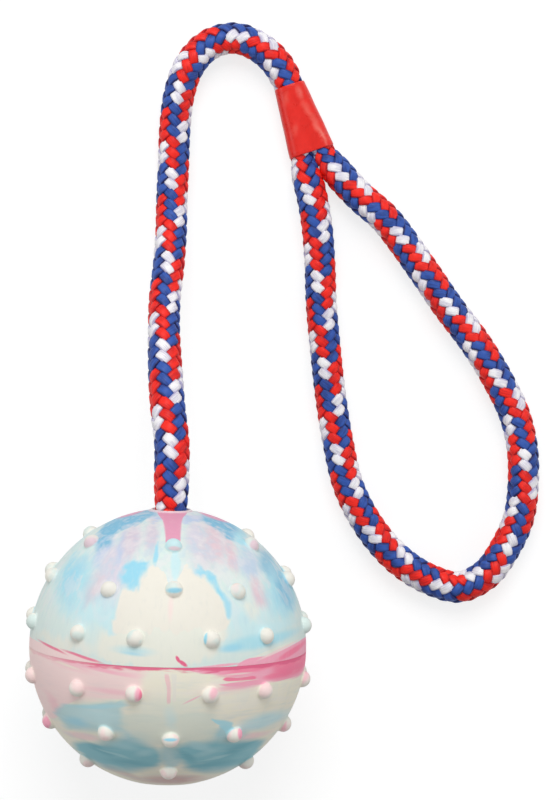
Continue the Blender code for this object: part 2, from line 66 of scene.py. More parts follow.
# The places that the frame gives: where the rope leaves the ball, the ball's centre and bore, and the sleeve's mouth
EXIT = np.array(JOINTS["ball_swing"]["pos_m"])
BALL_CENTRE = Vector(JOINTS["ball_spin"]["pos_m"])
BORE = np.array(JOINTS["ball_spin"]["axis"])
MOUTH = np.array(JOINTS["loop_lift"]["pos_m"])

# The ball, as in the part's source: its sizes, its turns in degrees, and its nubs as latitude and longitudes
BALL_RADIUS = 28.5 * MM
BALL_TILT, BALL_YAW, BALL_SPIN = 4.4, -1.4, 4.0
NUB_RADIUS = 1.75 * MM
NUB_CENTRE_RADIUS = 28.45 * MM
NUB_FILLET = 0.35 * MM
NUB_PLACES = (
    (11.2, (15.7, 42.0, 80.0)), (31.8, (0.0,)), (30.3, (31.3,)), (31.5, (79.0,)), (53.0, (0.0,)), (51.0, (64.0,)),
)
BORE_RADIUS = 3.65 * MM
LIP_FOOT_RADIUS = 4.35 * MM
RECESS_MOUTH_RADIUS = 7.0 * MM
RECESS_RADIUS = 8.5 * MM
RECESS_TOP = -8.5 * MM
RECESS_LIP_RADIUS = 0.6 * MM
RECESS_CORNER_RADIUS = 1.5 * MM
SEAM_GAP = 0.02 * MM

# The skin's mesh: points round a nub and round the ball, the ring round a nub, and the gaps between free points
NUB_SEGMENTS = 32
RING_SEGMENTS = 128
RIM_ANGLE = 2.7 * MM / BALL_RADIUS
FREE_SPACING = 1.2 * MM
FREE_MARGIN = 0.5 * MM
EQUATOR_MARGIN = 0.7 * MM

# The rope: its route over the ground, in millimetres. The free run has x, y and the height of its underside
ROPE_RADIUS = 3.4 * MM
ROPE_LIFT = 3.5 * MM
STEM_ROUTE = (
    (0.9, 41.4, 27.7), (-0.1, 49.6, 24.7), (-0.7, 57.2, 20.7), (-1.1, 64.9, 16.2), (-1.1, 72.0, 11.7),
    (-0.4, 79.2, 7.6), (0.0, 86.2, 4.3), (0.1, 93.4, 1.8), (0.4, 101.0, 0.5), (0.7, 109.0, 0.1), (1.6, 116.0, 0.0),
    (3.7, 122.0, 0.0), (7.8, 126.5, 0.0), (13.4, 128.0, 0.0), (18.9, 125.9, 0.05), (22.6, 122.4, 0.15),
)
LOOP_ROUTE = (
    (28.6, 99.2), (29.6, 95.6), (30.9, 88.5), (31.6, 80.0), (31.9, 71.4), (32.8, 61.5), (33.9, 51.5), (35.5, 41.7),
    (37.9, 31.9), (40.8, 26.0), (44.7, 20.5), (49.4, 15.9), (55.1, 12.5), (61.4, 10.9), (67.0, 13.6), (71.1, 19.2),
    (73.9, 25.3), (75.0, 33.5), (74.6, 41.8), (72.9, 48.3), (70.0, 54.3), (64.9, 62.8), (58.9, 70.8), (53.3, 79.0),
    (49.4, 84.5), (45.4, 89.6), (40.3, 94.1), (35.2, 99.6),
)
# The knot's middle line about the ball's own axes, in millimetres, from its loose end up to the bore
KNOT_ROUTE = (
    (0.0, 0.0, -27.3), (0.1, 0.1, -23.8), (-0.7, -0.3, -20.6), (-2.6, -1.9, -18.4), (-2.3, -4.3, -16.1),
    (-0.3, -5.5, -13.7), (2.4, -4.8, -11.9), (4.7, -2.5, -11.2), (5.5, 0.8, -11.6), (4.5, 3.6, -13.3),
    (2.4, 4.9, -15.5), (-0.3, 5.0, -17.7), (-2.9, 4.8, -19.9), (-4.9, 3.2, -22.1), (-5.5, 0.2, -23.5),
    (-4.4, -3.0, -23.7), (-1.9, -5.1, -22.8), (0.8, -5.4, -20.9), (2.6, -4.0, -18.4), (2.4, -1.5, -16.2),
    (0.5, -0.1, -13.8), (-0.1, 0.1, -10.5), (0.0, 0.0, -8.7),
)
KNOT_ROPE_RADIUS = 2.38 * MM

# The sleeve, as in the part's source: its width, height and corner radius at its top and at its mouth
SLEEVE_LENGTH = 15.0 * MM
SLEEVE_TOP = (6.7 * MM, 6.4 * MM, 2.9 * MM)
SLEEVE_MOUTH = (9.9 * MM, 5.9 * MM, 2.7 * MM)
SLEEVE_TURN = 18.8
SLEEVE_SEGMENTS = 96

# The camera, straight above, at the place from which the photograph was taken
CAMERA_PLACE = (23.1 * MM, 50.8 * MM, 760 * MM)


# Small functions that the rest uses

def srgb(code):
    """A colour written as #RRGGBB, in the linear values that the renderer works with."""
    parts = [int(code[k : k + 2], 16) / 255 for k in (1, 3, 5)]
    return (*(p / 12.92 if p <= 0.04045 else ((p + 0.055) / 1.055) ** 2.4 for p in parts), 1.0)


# Near black, for the rope's inner run: painted shade in the gaps between the strands
GAP_SHADE_BLACK = srgb("#0C0C14")

# The kinds of node that are used most, and the setting that says how each of them works
MATH, VECTOR, RANGE = "ShaderNodeMath", "ShaderNodeVectorMath", "ShaderNodeMapRange"
MIX, NOISE, MAPPING = "ShaderNodeMix", "ShaderNodeTexNoise", "ShaderNodeMapping"
SPLIT, JOIN, NORMAL = "ShaderNodeSeparateXYZ", "ShaderNodeCombineXYZ", "GeometryNodeSetCurveNormal"
NAMED, STORE = "GeometryNodeInputNamedAttribute", "GeometryNodeStoreNamedAttribute"
MODES = {
    MATH: "operation", VECTOR: "operation", RANGE: "interpolation_type", MIX: "data_type",
    MAPPING: "vector_type", NORMAL: "mode", NAMED: "data_type", STORE: "data_type",
}


def add_node(tree, kind, values=(), mode=None, **settings):
    """A node with its settings. A value is a plain one, or a node or socket, or a list of them, to be linked."""
    node = tree.nodes.new(kind)
    if mode:
        settings[MODES[kind]] = mode
    for key, value in settings.items():
        setattr(node, key, value)
    for key, value in values.items() if isinstance(values, dict) else enumerate(values):
        for source in value if isinstance(value, list) else [value]:
            if isinstance(source, bpy.types.Node):
                source = next(socket for socket in source.outputs if socket.enabled)
            if isinstance(source, bpy.types.NodeSocket):
                tree.links.new(source, node.inputs[key])
            else:
                node.inputs[key].default_value = source
    return node


def new_tree(name, sockets):
    """An empty geometry tree with its inputs, what adds nodes to it, and the sockets of its inputs."""
    tree = bpy.data.node_groups.new(name, "GeometryNodeTree")
    tree.is_modifier = True
    tree.interface.new_socket("Geometry", in_out="OUTPUT", socket_type="NodeSocketGeometry")
    for label, kind in {"Geometry": "Geometry", **sockets}.items():
        tree.interface.new_socket(label, in_out="INPUT", socket_type="NodeSocket" + kind)
    add = partial(add_node, tree)
    return tree, add, add("NodeGroupInput").outputs


def grown(obj, tree, values):
    """The plain mesh that the tree makes of the object, as a new object that takes the first one's name."""
    modifier = obj.modifiers.new("Made", "NODES")
    modifier.node_group = tree
    for item in tree.interface.items_tree:
        if item.in_out == "INPUT" and item.name in values:
            modifier[item.identifier] = values[item.name]
    evaluated = obj.evaluated_get(bpy.context.evaluated_depsgraph_get())
    mesh = bpy.data.meshes.new_from_object(evaluated)
    name, old = obj.name, obj.data
    bpy.data.objects.remove(obj)
    bpy.data.meshes.remove(old)
    return new_piece(name, mesh)


def new_piece(name, data):
    data.name = name
    obj = bpy.data.objects.new(name, data)
    bpy.context.scene.collection.objects.link(obj)
    return obj


def new_material(name):
    """An empty material, and what adds nodes to it."""
    material = bpy.data.materials.new(name)
    material.use_nodes = True
    material.node_tree.nodes.clear()
    return material, partial(add_node, material.node_tree)


def laid_over(add, color, paint, values, held_back=None):
    """The colour with the paint over it. The values of a soft range say how thickly it lies."""
    share = add(RANGE, values, "SMOOTHSTEP")
    if held_back:
        share = add(MATH, [share, held_back], "MULTIPLY")
    return add(MIX, {0: share, 6: color, 7: paint}, "RGBA")


def finish_material(add, color, relief, strength, depth, rough, ior, specular):
    bump = add("ShaderNodeBump", {"Height": relief, "Strength": strength, "Distance": depth})
    values = {"Base Color": color, "Roughness": rough, "IOR": ior, "Specular IOR Level": specular, "Normal": bump}
    add("ShaderNodeOutputMaterial", [add("ShaderNodeBsdfPrincipled", values)])


def store(mesh, label, values):
    """Keep a number or three numbers for each of the mesh's points."""
    values = np.asarray(values, np.float32)
    kind, key = ("FLOAT", "value") if values.ndim == 1 else ("FLOAT_VECTOR", "vector")
    mesh.attributes.new(label, kind, "POINT").data.foreach_set(key, values.ravel())


def band(first, second):
    """The four-sided faces between two closed rings of points, which are given by their numbers."""
    return list(zip(first, [*first[1:], first[0]], [*second[1:], second[0]], second))


def face_outwards(mesh):
    """Turn every face outwards, and stop if the skin isn't closed."""
    work = bmesh.new()
    work.from_mesh(mesh)
    bmesh.ops.recalc_face_normals(work, faces=work.faces)
    if not all(edge.is_manifold for edge in work.edges):
        raise RuntimeError(f"{mesh.name}: the skin has open edges")
    work.to_mesh(mesh)
    work.free()


def distances(line):
    return np.concatenate([[0.0], np.cumsum(np.linalg.norm(np.diff(line, axis=0), axis=1))])


def at_distances(line, wanted):
    along = distances(line)
    return np.stack([np.interp(wanted, along, line[:, k]) for k in range(3)], axis=1)


def direction(start, end):
    return (end - start) / np.linalg.norm(end - start)


def smooth_line(route, spacing, start=None, end=None):
    """Points at an even spacing on a smooth curve through the route, with the end directions if given."""
    route = np.array(route, float)
    step = np.linalg.norm(np.diff(route, axis=0), axis=1)
    slope = np.diff(route, axis=0) / step[:, None]
    inner = (slope[1:] * step[:-1, None] + slope[:-1] * step[1:, None]) / (step[1:] + step[:-1])[:, None]
    first = slope[0] if start is None else start
    last = slope[-1] if end is None else end
    tangent = np.vstack([first, inner, last])
    t = np.linspace(0, 1, 32, endpoint=False)[:, None]
    line = []
    for k, length in enumerate(step):
        line.append(
            (1 + 2 * t) * (1 - t) ** 2 * route[k]
            + t * (1 - t) ** 2 * length * tangent[k]
            + t**2 * (3 - 2 * t) * route[k + 1]
            + t**2 * (t - 1) * length * tangent[k + 1]
        )
    line = np.vstack(line + [route[-1:]])
    length = distances(line)[-1]
    return at_distances(line, np.linspace(0, length, max(2, round(length / spacing)) + 1))


def squeezed(radius, end_radius, distance, length):
    """The rope's radius as it opens out from a squeezed end."""
    share = np.clip(distance / length, 0.0, 1.0)
    return end_radius + (radius - end_radius) * (1 - (1 - share) ** 2)


def turned(angle, axis):
    return Matrix.Rotation(math.radians(angle), 4, axis)


def ball_place():
    """Where the ball's own axes lie: its Z is the bore, and its -Y is the side that faces up."""
    turn = turned(BALL_YAW, "Z") @ turned(BALL_TILT, "X") @ turned(BALL_SPIN, "Y") @ turned(-90, "X")
    return Matrix.Translation(BALL_CENTRE) @ turn


def sleeve_place():
    return Matrix.Translation((MOUTH[0], MOUTH[1], 0)) @ turned(SLEEVE_TURN, "Z")


def in_sleeve(across, up):
    """A point of a run inside the sleeve: across its middle, and up from its mouth, in millimetres."""
    height = SLEEVE_MOUTH[1] + (SLEEVE_TOP[1] - SLEEVE_MOUTH[1]) * up * MM / SLEEVE_LENGTH
    return np.array(sleeve_place() @ Vector((across * MM, up * MM, height / 2)))


# The braided rope

BRAID_INPUTS = {
    "Points": "Int", "Strands": "Int", "Strand width": "Float", "Strand thickness": "Float", "Weave depth": "Float",
    "Bulge": "Float", "Rope radius": "Float", "Core share": "Float", "Yarn": "Material",
}
# The middle of each yarn's stretch in the colour ramps
YARNS = {"white": 0.125, "blue": 0.375, "red": 0.625, "core": 0.875}


def braid_tree(upright):
    """The tree that braids sixteen flat strands round a middle line, two over and two under.

    Each point of the line brings its girth, how many turns the strands have made, and how far the braid is
    rolled. Eight strands go round each way. A strand lies high or low by its angle alone, so the braid shows
    the eight straight columns of the real one.
    """
    tree, add, ask = new_tree("braided rope", BRAID_INPUTS)
    curve = add("GeometryNodeMeshToCurve", {"Mesh": ask["Geometry"]})
    even = add("GeometryNodeResampleCurve", {"Curve": curve, "Count": ask["Points"]})
    framed = add(NORMAL, {"Curve": even}, "Z_UP" if upright else "MINIMUM_TWIST")
    strands = add("GeometryNodeDuplicateElements", {"Geometry": framed, "Amount": ask["Strands"]}, domain="SPLINE")
    index = strands.outputs["Duplicate Index"]
    turns, roll, girth = (add(NAMED, {"Name": label}, "FLOAT") for label in ("turns", "roll", "girth"))

    # The strand's direction round the rope, its number among the eight, and the turns it has made
    odd = add(MATH, [index, 2.0], "FLOORED_MODULO")
    way = add(MATH, [odd, -2.0, 1.0], "MULTIPLY_ADD")
    order = add(MATH, [add(MATH, [index, 2.0], "DIVIDE")], "FLOOR")
    turns = add(MATH, [order, 1 / 8, turns], "MULTIPLY_ADD")
    turns = add(MATH, [odd, 3.5 / 8, turns], "MULTIPLY_ADD")
    own_angle = add(MATH, [turns, math.tau], "MULTIPLY")
    own_angle = add(MATH, [own_angle, way], "MULTIPLY")
    angle = add(MATH, [own_angle, roll], "ADD")

    # High where the strand passes over two others, and low where it passes under two
    wave = add(MATH, [own_angle, 4.0], "MULTIPLY")
    wave = add(MATH, [wave], "COSINE")
    wave = add(MATH, [wave, 1.5], "MULTIPLY")
    wave = add(MATH, [wave, way], "MULTIPLY")
    low = add(MATH, [wave, -1.0], "MAXIMUM")
    low = add(MATH, [low, 1.0], "MINIMUM")
    crown = add(MATH, [wave, low], "SUBTRACT")
    crown = add(MATH, [crown, 0.5], "ADD")
    scale = add(MATH, [girth, ask["Rope radius"]], "DIVIDE")
    half = add(MATH, [ask["Strand thickness"], 0.5], "MULTIPLY")
    drop = add(MATH, [low, ask["Weave depth"], ask["Weave depth"]], "MULTIPLY_ADD")
    drop = add(MATH, [crown, ask["Bulge"], drop], "MULTIPLY_ADD")
    height = add(MATH, [ask["Rope radius"], half], "SUBTRACT")
    height = add(MATH, [height, drop], "SUBTRACT")
    reach = add(MATH, [height, scale], "MULTIPLY")

    side = add("GeometryNodeInputNormal")
    up = add(VECTOR, [side, add("GeometryNodeInputTangent")], "CROSS_PRODUCT")
    up_part = add(VECTOR, {0: up, "Scale": add(MATH, [angle], "COSINE")}, "SCALE")
    side_part = add(VECTOR, {0: side, "Scale": add(MATH, [angle], "SINE")}, "SCALE")
    outward = add(VECTOR, [up_part, side_part], "ADD")
    offset = add(VECTOR, {0: outward, "Scale": reach}, "SCALE")

    # Two strands of each eight are white, three blue and three red
    yarn = YARNS["white"]
    for last in (1.5, 4.5):
        yarn = add(MATH, [add(MATH, [order, last], "GREATER_THAN"), 0.25, yarn], "MULTIPLY_ADD")
    # How deep the strand dives, which the yarn's material darkens as painted shade
    dive = add(MATH, [low, 0.5, 0.5], "MULTIPLY_ADD")
    cloth = add(STORE, {"Geometry": strands, "Name": "outward", "Value": outward}, "FLOAT_VECTOR", domain="POINT")
    for label, value in (("yarn", yarn), ("dive", dive), ("bundle", index)):
        cloth = add(STORE, {"Geometry": cloth, "Name": label, "Value": value}, "FLOAT", domain="POINT")
    cloth = add("GeometryNodeSetPosition", {"Geometry": cloth, "Offset": offset})

    # Each strand's flat side faces outwards along its own path
    level = add(NAMED, {"Name": "outward"}, "FLOAT_VECTOR")
    ahead = add("GeometryNodeInputTangent")
    lean = add(VECTOR, [level, ahead], "DOT_PRODUCT")
    leaning = add(VECTOR, {0: ahead, "Scale": lean}, "SCALE")
    square = add(VECTOR, [add(VECTOR, [level, leaning], "SUBTRACT")], "NORMALIZE")
    cloth = add(NORMAL, {"Curve": cloth, "Normal": square}, "FREE")

    # The strand's outline is a circle of eight points, squared off and pressed flat
    ring = add("GeometryNodeCurvePrimitiveCircle", {"Resolution": 8, "Radius": 1.0})
    ring = add("GeometryNodeTransform", {"Geometry": ring, "Rotation": (0.0, 0.0, math.pi / 8)})
    squared = []
    for part in add(SPLIT, [add("GeometryNodeInputPosition")]).outputs[:2]:
        size = add(MATH, [add(MATH, [part], "ABSOLUTE"), 0.6], "POWER")
        squared.append(add(MATH, [add(MATH, [part], "SIGN"), size], "MULTIPLY"))
    wide = add(MATH, [ask["Strand width"], 0.5], "MULTIPLY")
    thick = add(MATH, [squared[0], half], "MULTIPLY")
    broad = add(MATH, [squared[1], wide], "MULTIPLY")
    ring = add(STORE, {"Geometry": ring, "Name": "across", "Value": squared[1]}, "FLOAT", domain="POINT")
    ring = add("GeometryNodeSetPosition", {"Geometry": ring, "Position": add(JOIN, [thick, broad])})
    sweep = "GeometryNodeCurveToMesh"
    strand = add(sweep, {"Curve": cloth, "Profile Curve": ring, "Scale": scale, "Fill Caps": True})

    # The inner run, near black as painted shade in the gaps between the strands, which it closes
    ring = add("GeometryNodeCurvePrimitiveCircle", {"Resolution": 12, "Radius": 1.0})
    size = add(MATH, [girth, ask["Core share"]], "MULTIPLY")
    core = add(sweep, {"Curve": framed, "Profile Curve": ring, "Scale": size, "Fill Caps": True})
    core = add(STORE, {"Geometry": core, "Name": "yarn", "Value": YARNS["core"]}, "FLOAT", domain="POINT")

    both = add("GeometryNodeJoinGeometry", [[core, strand]])
    real = add("GeometryNodeRealizeInstances", [both])
    smooth = add("GeometryNodeSetShadeSmooth", [real])
    add("NodeGroupOutput", [add("GeometryNodeSetMaterial", {"Geometry": smooth, "Material": ask["Yarn"]})])
    return tree


def braided(name, line, radii, settings, material, turns=None, roll=0.0, upright=True):
    """One run of braided rope along the line, as a plain mesh."""
    turns = distances(line) / settings.pitch if turns is None else turns
    mesh = bpy.data.meshes.new(name)
    mesh.from_pydata([tuple(p) for p in line], [(k, k + 1) for k in range(len(line) - 1)], [])
    for label, values in (("girth", radii), ("turns", turns), ("roll", roll)):
        store(mesh, label, np.broadcast_to(values, len(line)))
    values = {
        "Points": max(16, round(float(np.ptp(turns)) * settings.points_in_turn)),
        "Strands": 16,
        "Strand width": settings.strand_width,
        "Strand thickness": settings.strand_thickness,
        "Weave depth": settings.weave_depth,
        "Bulge": settings.bulge,
        "Rope radius": settings.diameter / 2,
        "Core share": 0.7,
        "Yarn": material,
    }
    obj = grown(new_piece(name, mesh), braid_tree(upright), values)
    return obj


def stem_line():
    """The free run's middle line and radii, from just inside the ball's hole to just inside the sleeve's top."""
    hidden = 2.5 * MM
    inside, straight = EXIT - BORE * hidden, EXIT + BORE * 6.7 * MM
    free = [(x * MM, y * MM, z * MM + ROPE_LIFT) for x, y, z in STEM_ROUTE]
    top, seat = in_sleeve(-0.15, 15.0), in_sleeve(-0.15, 13.4)
    line = smooth_line([inside, straight, *free, top], 1.0 * MM, start=BORE, end=direction(top, seat))
    line = np.vstack([line, seat])
    along = distances(line)
    # The rope is fuller where it leaves the ball
    places, swells = np.array((0.0, 5.0, 28.0, 40.0)) * MM, np.array((-0.05, 0.3, 0.3, 0.0)) * MM
    radii = ROPE_RADIUS + np.interp(along - hidden, places, swells)
    return line, squeezed(radii, 2.75 * MM, along[-1] - along, 5.0 * MM)


def loop_line():
    """The hand loop's middle line and radii, from the right of the sleeve's mouth round to its left."""
    right, left = in_sleeve(2.15, 1.2), in_sleeve(-2.15, 1.2)
    right_mouth, left_mouth = in_sleeve(2.3, -1.0), in_sleeve(-2.3, -1.0)
    free = [(x * MM, y * MM, ROPE_LIFT) for x, y in LOOP_ROUTE[::-1]]
    ends = {"start": direction(right, right_mouth), "end": direction(left_mouth, left)}
    line = smooth_line([right, right_mouth, *free, left_mouth, left], 1.0 * MM, **ends)
    along = distances(line)
    from_mouth = np.minimum(along, along[-1] - along) - 2.5 * MM
    return line, squeezed(ROPE_RADIUS, 2.6 * MM, from_mouth, 5.5 * MM)


def by_yarn(add, dye, colors):
    """One flat colour for each kind of yarn."""
    ramp = add("ShaderNodeValToRGB", [dye])
    elements = ramp.color_ramp.elements
    ramp.color_ramp.interpolation = "CONSTANT"
    while len(elements) < len(colors):
        elements.new(0.5)
    for k, (element, color) in enumerate(zip(elements, colors)):
        element.position = k / len(colors)
        element.color = (*color[:3], 1.0)
    return ramp


def yarn_material(settings):
    """Polypropylene filament yarn, dyed in the mass and laid flat in each strand.

    The filaments lie side by side without twist, so a strand has a soft silky shine and fine lines along it.
    Painted shade gives it a lighter middle and darkens it at its edges and where it dives under its
    neighbours, by mixing each yarn's lit colour with its colour in shade.
    """
    material, add = new_material("braided polypropylene yarn")
    dye, dive, across, turns, bundle = (
        add("ShaderNodeAttribute", attribute_name=label).outputs["Fac"]
        for label in ("yarn", "dive", "across", "turns", "bundle")
    )

    # Filaments are drawn 0.12 mm wide, coarser than the real ones, so that they show
    along = add(JOIN, [across, turns, bundle])
    filaments, lengths = (
        add(NOISE, {"Vector": add(VECTOR, [along, stretch], "MULTIPLY"), "Scale": 1.0, "Detail": detail})
        for stretch, detail in (((8.0, 16.0, 3.1), 2.0), ((0.9, 13.0, 3.1), 0.0))
    )

    # How light the yarn is: lighter in places along the strand, and darker at its edges and where it dives,
    # which is painted shade
    off_middle = add(MATH, [across], "ABSOLUTE")
    level = add(RANGE, [lengths, 0.3, 0.7, 0.62, 1.12], "SMOOTHSTEP")
    for shade in (
        [off_middle, 0.5, 1.0, 0.0, -0.7],
        [filaments, 0.3, 0.7, -0.25, 0.25],
        [dive, 0.05, 0.6, 0.0, -0.95],
    ):
        level = add(MATH, [level, add(RANGE, shade, "SMOOTHSTEP")], "ADD")
    shades, lights = (
        by_yarn(add, dye, [getattr(settings, yarn + end) for yarn in ("white", "blue", "red")] + [GAP_SHADE_BLACK])
        for end in ("_shade", "")
    )
    color = add(MIX, {0: level, 6: shades, 7: lights}, "RGBA", clamp_factor=True)
    finish_material(add, color, filaments, 0.4, 0.06 * MM, rough=0.5, ior=1.49, specular=0.3)
    return material


def make_free_ropes(settings):
    """The free run and the hand loop, which are the rope's two declared cords."""
    yarn = yarn_material(settings)
    line, radii = stem_line()
    # The turns are counted along the ground. The white pair crosses the upper side at 67.8 mm along Y, in the
    # part of the line that goes up to point 140
    turns = distances(line * np.array((1.0, 1.0, 0.0))) / settings.pitch
    start = np.interp(67.8 * MM, line[:140, 1], turns[:140])
    stem = braided("rope_free_run", line, radii, settings, yarn, turns - start - 1 / 16, math.radians(-4))
    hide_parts("rope_neck", "rope_stem")
    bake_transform(stem)

    line, radii = loop_line()
    along = distances(line)
    # Read off the white pairs of yarn in the photograph: distance along the loop, turns made
    turns = np.interp(along / MM, (0.0, 7.7, 26.3, 192.2, 211.1, 230.0), (0.086, 0.5, 1.5, 10.5, 11.5, 12.5))
    roll = np.radians(np.interp(along / MM, (0.0, 60.0, 150.0, 230.0), (0.0, 0.0, -14.0, -17.0)))
    loop = braided("rope_hand_loop", line, radii, settings, yarn, turns, roll)
    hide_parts("rope_loop")
    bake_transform(loop)
    return yarn


def make_hidden_ropes(settings, yarn):
    """The rope where it is hidden: in the bore, in the recess and in the sleeve."""
    place = ball_place()
    low = np.array(place @ Vector((0, 0, RECESS_TOP)))
    line = smooth_line([low, EXIT - BORE * 0.15 * MM], 1.0 * MM)
    bore_run = braided("rope_in_bore", line, 3.3 * MM, settings, yarn)
    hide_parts("rope_in_ball")
    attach(bore_run, "rope_core")

    line = smooth_line([np.array(place @ (Vector(p) * MM)) for p in KNOT_ROUTE], 0.5 * MM)
    along = distances(line)
    turns = along / (settings.pitch * KNOT_ROPE_RADIUS / ROPE_RADIUS)
    radii = squeezed(KNOT_ROPE_RADIUS, 1.4 * MM, along, 1.5 * MM)
    knot = braided("rope_knot", line, radii, settings, yarn, turns, upright=False)
    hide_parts("stopper_knot")
    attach(knot, "rope_core")

    run = np.array([in_sleeve(1.95 * k / 20 - 2.1, 0.3 + 14.0 * k / 20) for k in range(21)])
    standing = braided("rope_in_sleeve_run", run, np.linspace(2.1, 2.65, 21) * MM, settings, yarn)
    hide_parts("rope_in_sleeve")
    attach(standing, "handle_rope")
    run = np.array([in_sleeve(2.15 + 0.1 * k / 12, 0.3 + 9.0 * k / 12) for k in range(13)])
    tail = braided("rope_tail_in_sleeve", run, np.linspace(2.1, 1.1, 13) * MM, settings, yarn)
    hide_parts("rope_tail_end")
    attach(tail, "handle_rope")


# The ball

def on_sphere(latitude, longitude):
    """The unit vector of a place on the ball: latitude from the equator, longitude from the side facing up."""
    north, east = math.radians(latitude), math.radians(longitude)
    return Vector((math.sin(east) * math.cos(north), -math.cos(east) * math.cos(north), math.sin(north)))


def nub_turns(side):
    """How each nub of a half is turned from standing on the ball's +Z, as rotation matrices."""
    found = []
    for latitude, longitudes in NUB_PLACES:
        for longitude in longitudes:
            turns = {longitude, -longitude, 180.0 - longitude, longitude - 180.0}
            if longitude == 0.0:
                turns = {0.0, 180.0}
            for turn in sorted(turns):
                found.append(on_sphere(side * latitude, turn).to_track_quat("Z", "Y").to_matrix())
    return found


def nub_profile():
    """The nub's outline from its top to the ball: (out from its axis, up from the ball's centre)."""
    far, reach = BALL_RADIUS + NUB_FILLET, NUB_RADIUS + NUB_FILLET
    foot = math.acos((far**2 + NUB_CENTRE_RADIUS**2 - reach**2) / (2 * far * NUB_CENTRE_RADIUS))
    centre = (far * math.sin(foot), far * math.cos(foot))
    meet = math.atan2(centre[0], centre[1] - NUB_CENTRE_RADIUS)
    arcs = (
        (0.0, NUB_CENTRE_RADIUS, NUB_RADIUS, np.linspace(0, meet, 9)[1:]),
        (*centre, NUB_FILLET, np.linspace(meet + math.pi, foot + math.pi, 4)[1:]),
        (0.0, 0.0, BALL_RADIUS, [RIM_ANGLE]),
    )
    return [(out + radius * math.sin(t), up + radius * math.cos(t)) for out, up, radius, turns in arcs for t in turns]


def nub_form():
    """One nub standing on the ball's +Z, with the ball's centre as its origin."""
    mesh = bpy.data.meshes.new("nub")
    profile = nub_profile()
    points = [(0.0, 0.0, NUB_CENTRE_RADIUS + NUB_RADIUS)]
    for out, up in profile:
        points += [tuple(p) for p in ring(out, up, NUB_SEGMENTS)]
    faces = [(0, 1 + k, 1 + (k + 1) % NUB_SEGMENTS) for k in range(NUB_SEGMENTS)]
    for first in range(1, 1 + (len(profile) - 1) * NUB_SEGMENTS, NUB_SEGMENTS):
        for k in range(NUB_SEGMENTS):
            n = (k + 1) % NUB_SEGMENTS
            faces.append((first + k, first + NUB_SEGMENTS + k, first + NUB_SEGMENTS + n, first + n))
    mesh.from_pydata(points, [], faces)
    obj = new_piece("nub_form", mesh)
    obj.hide_render = True
    return obj


def arc(centre, radius, start, end, steps):
    """Points (radius, height) on an arc, from one angle to the other in degrees."""
    angles = np.radians(np.linspace(start, end, steps + 1))
    return [(centre[0] + radius * math.cos(a), centre[1] + radius * math.sin(a)) for a in angles]


def ring(radius, height, count=RING_SEGMENTS):
    turn = math.tau / count
    return [Vector((radius * math.cos(turn * k), radius * math.sin(turn * k), height)) for k in range(count)]


def inner_outline(side):
    """From the ring round the pole inwards, down the hole, and out along the parting face."""
    if side > 0:
        foot = LIP_FOOT_RADIUS
        high = math.sqrt(BALL_RADIUS**2 - foot**2)
        lip = arc(((foot + BORE_RADIUS) / 2, high), (foot - BORE_RADIUS) / 2, 0.0, 180.0, 8)[1:]
        return lip + [(BORE_RADIUS, height) for height in (20 * MM, 8 * MM, SEAM_GAP)]
    foot = RECESS_MOUTH_RADIUS + RECESS_LIP_RADIUS
    centre = (foot, -math.sqrt(BALL_RADIUS**2 - foot**2) + RECESS_LIP_RADIUS)
    lip = arc(centre, RECESS_LIP_RADIUS, -90.0, -270.0, 8)
    neck = (RECESS_RADIUS, centre[1] + RECESS_LIP_RADIUS + RECESS_RADIUS - RECESS_MOUTH_RADIUS)
    corner_centre = (RECESS_RADIUS - RECESS_CORNER_RADIUS, RECESS_TOP - RECESS_CORNER_RADIUS)
    corner = arc(corner_centre, RECESS_CORNER_RADIUS, 0.0, 90.0, 4)
    return lip + [neck] + corner + [(BORE_RADIUS, RECESS_TOP), (BORE_RADIUS, -SEAM_GAP)]


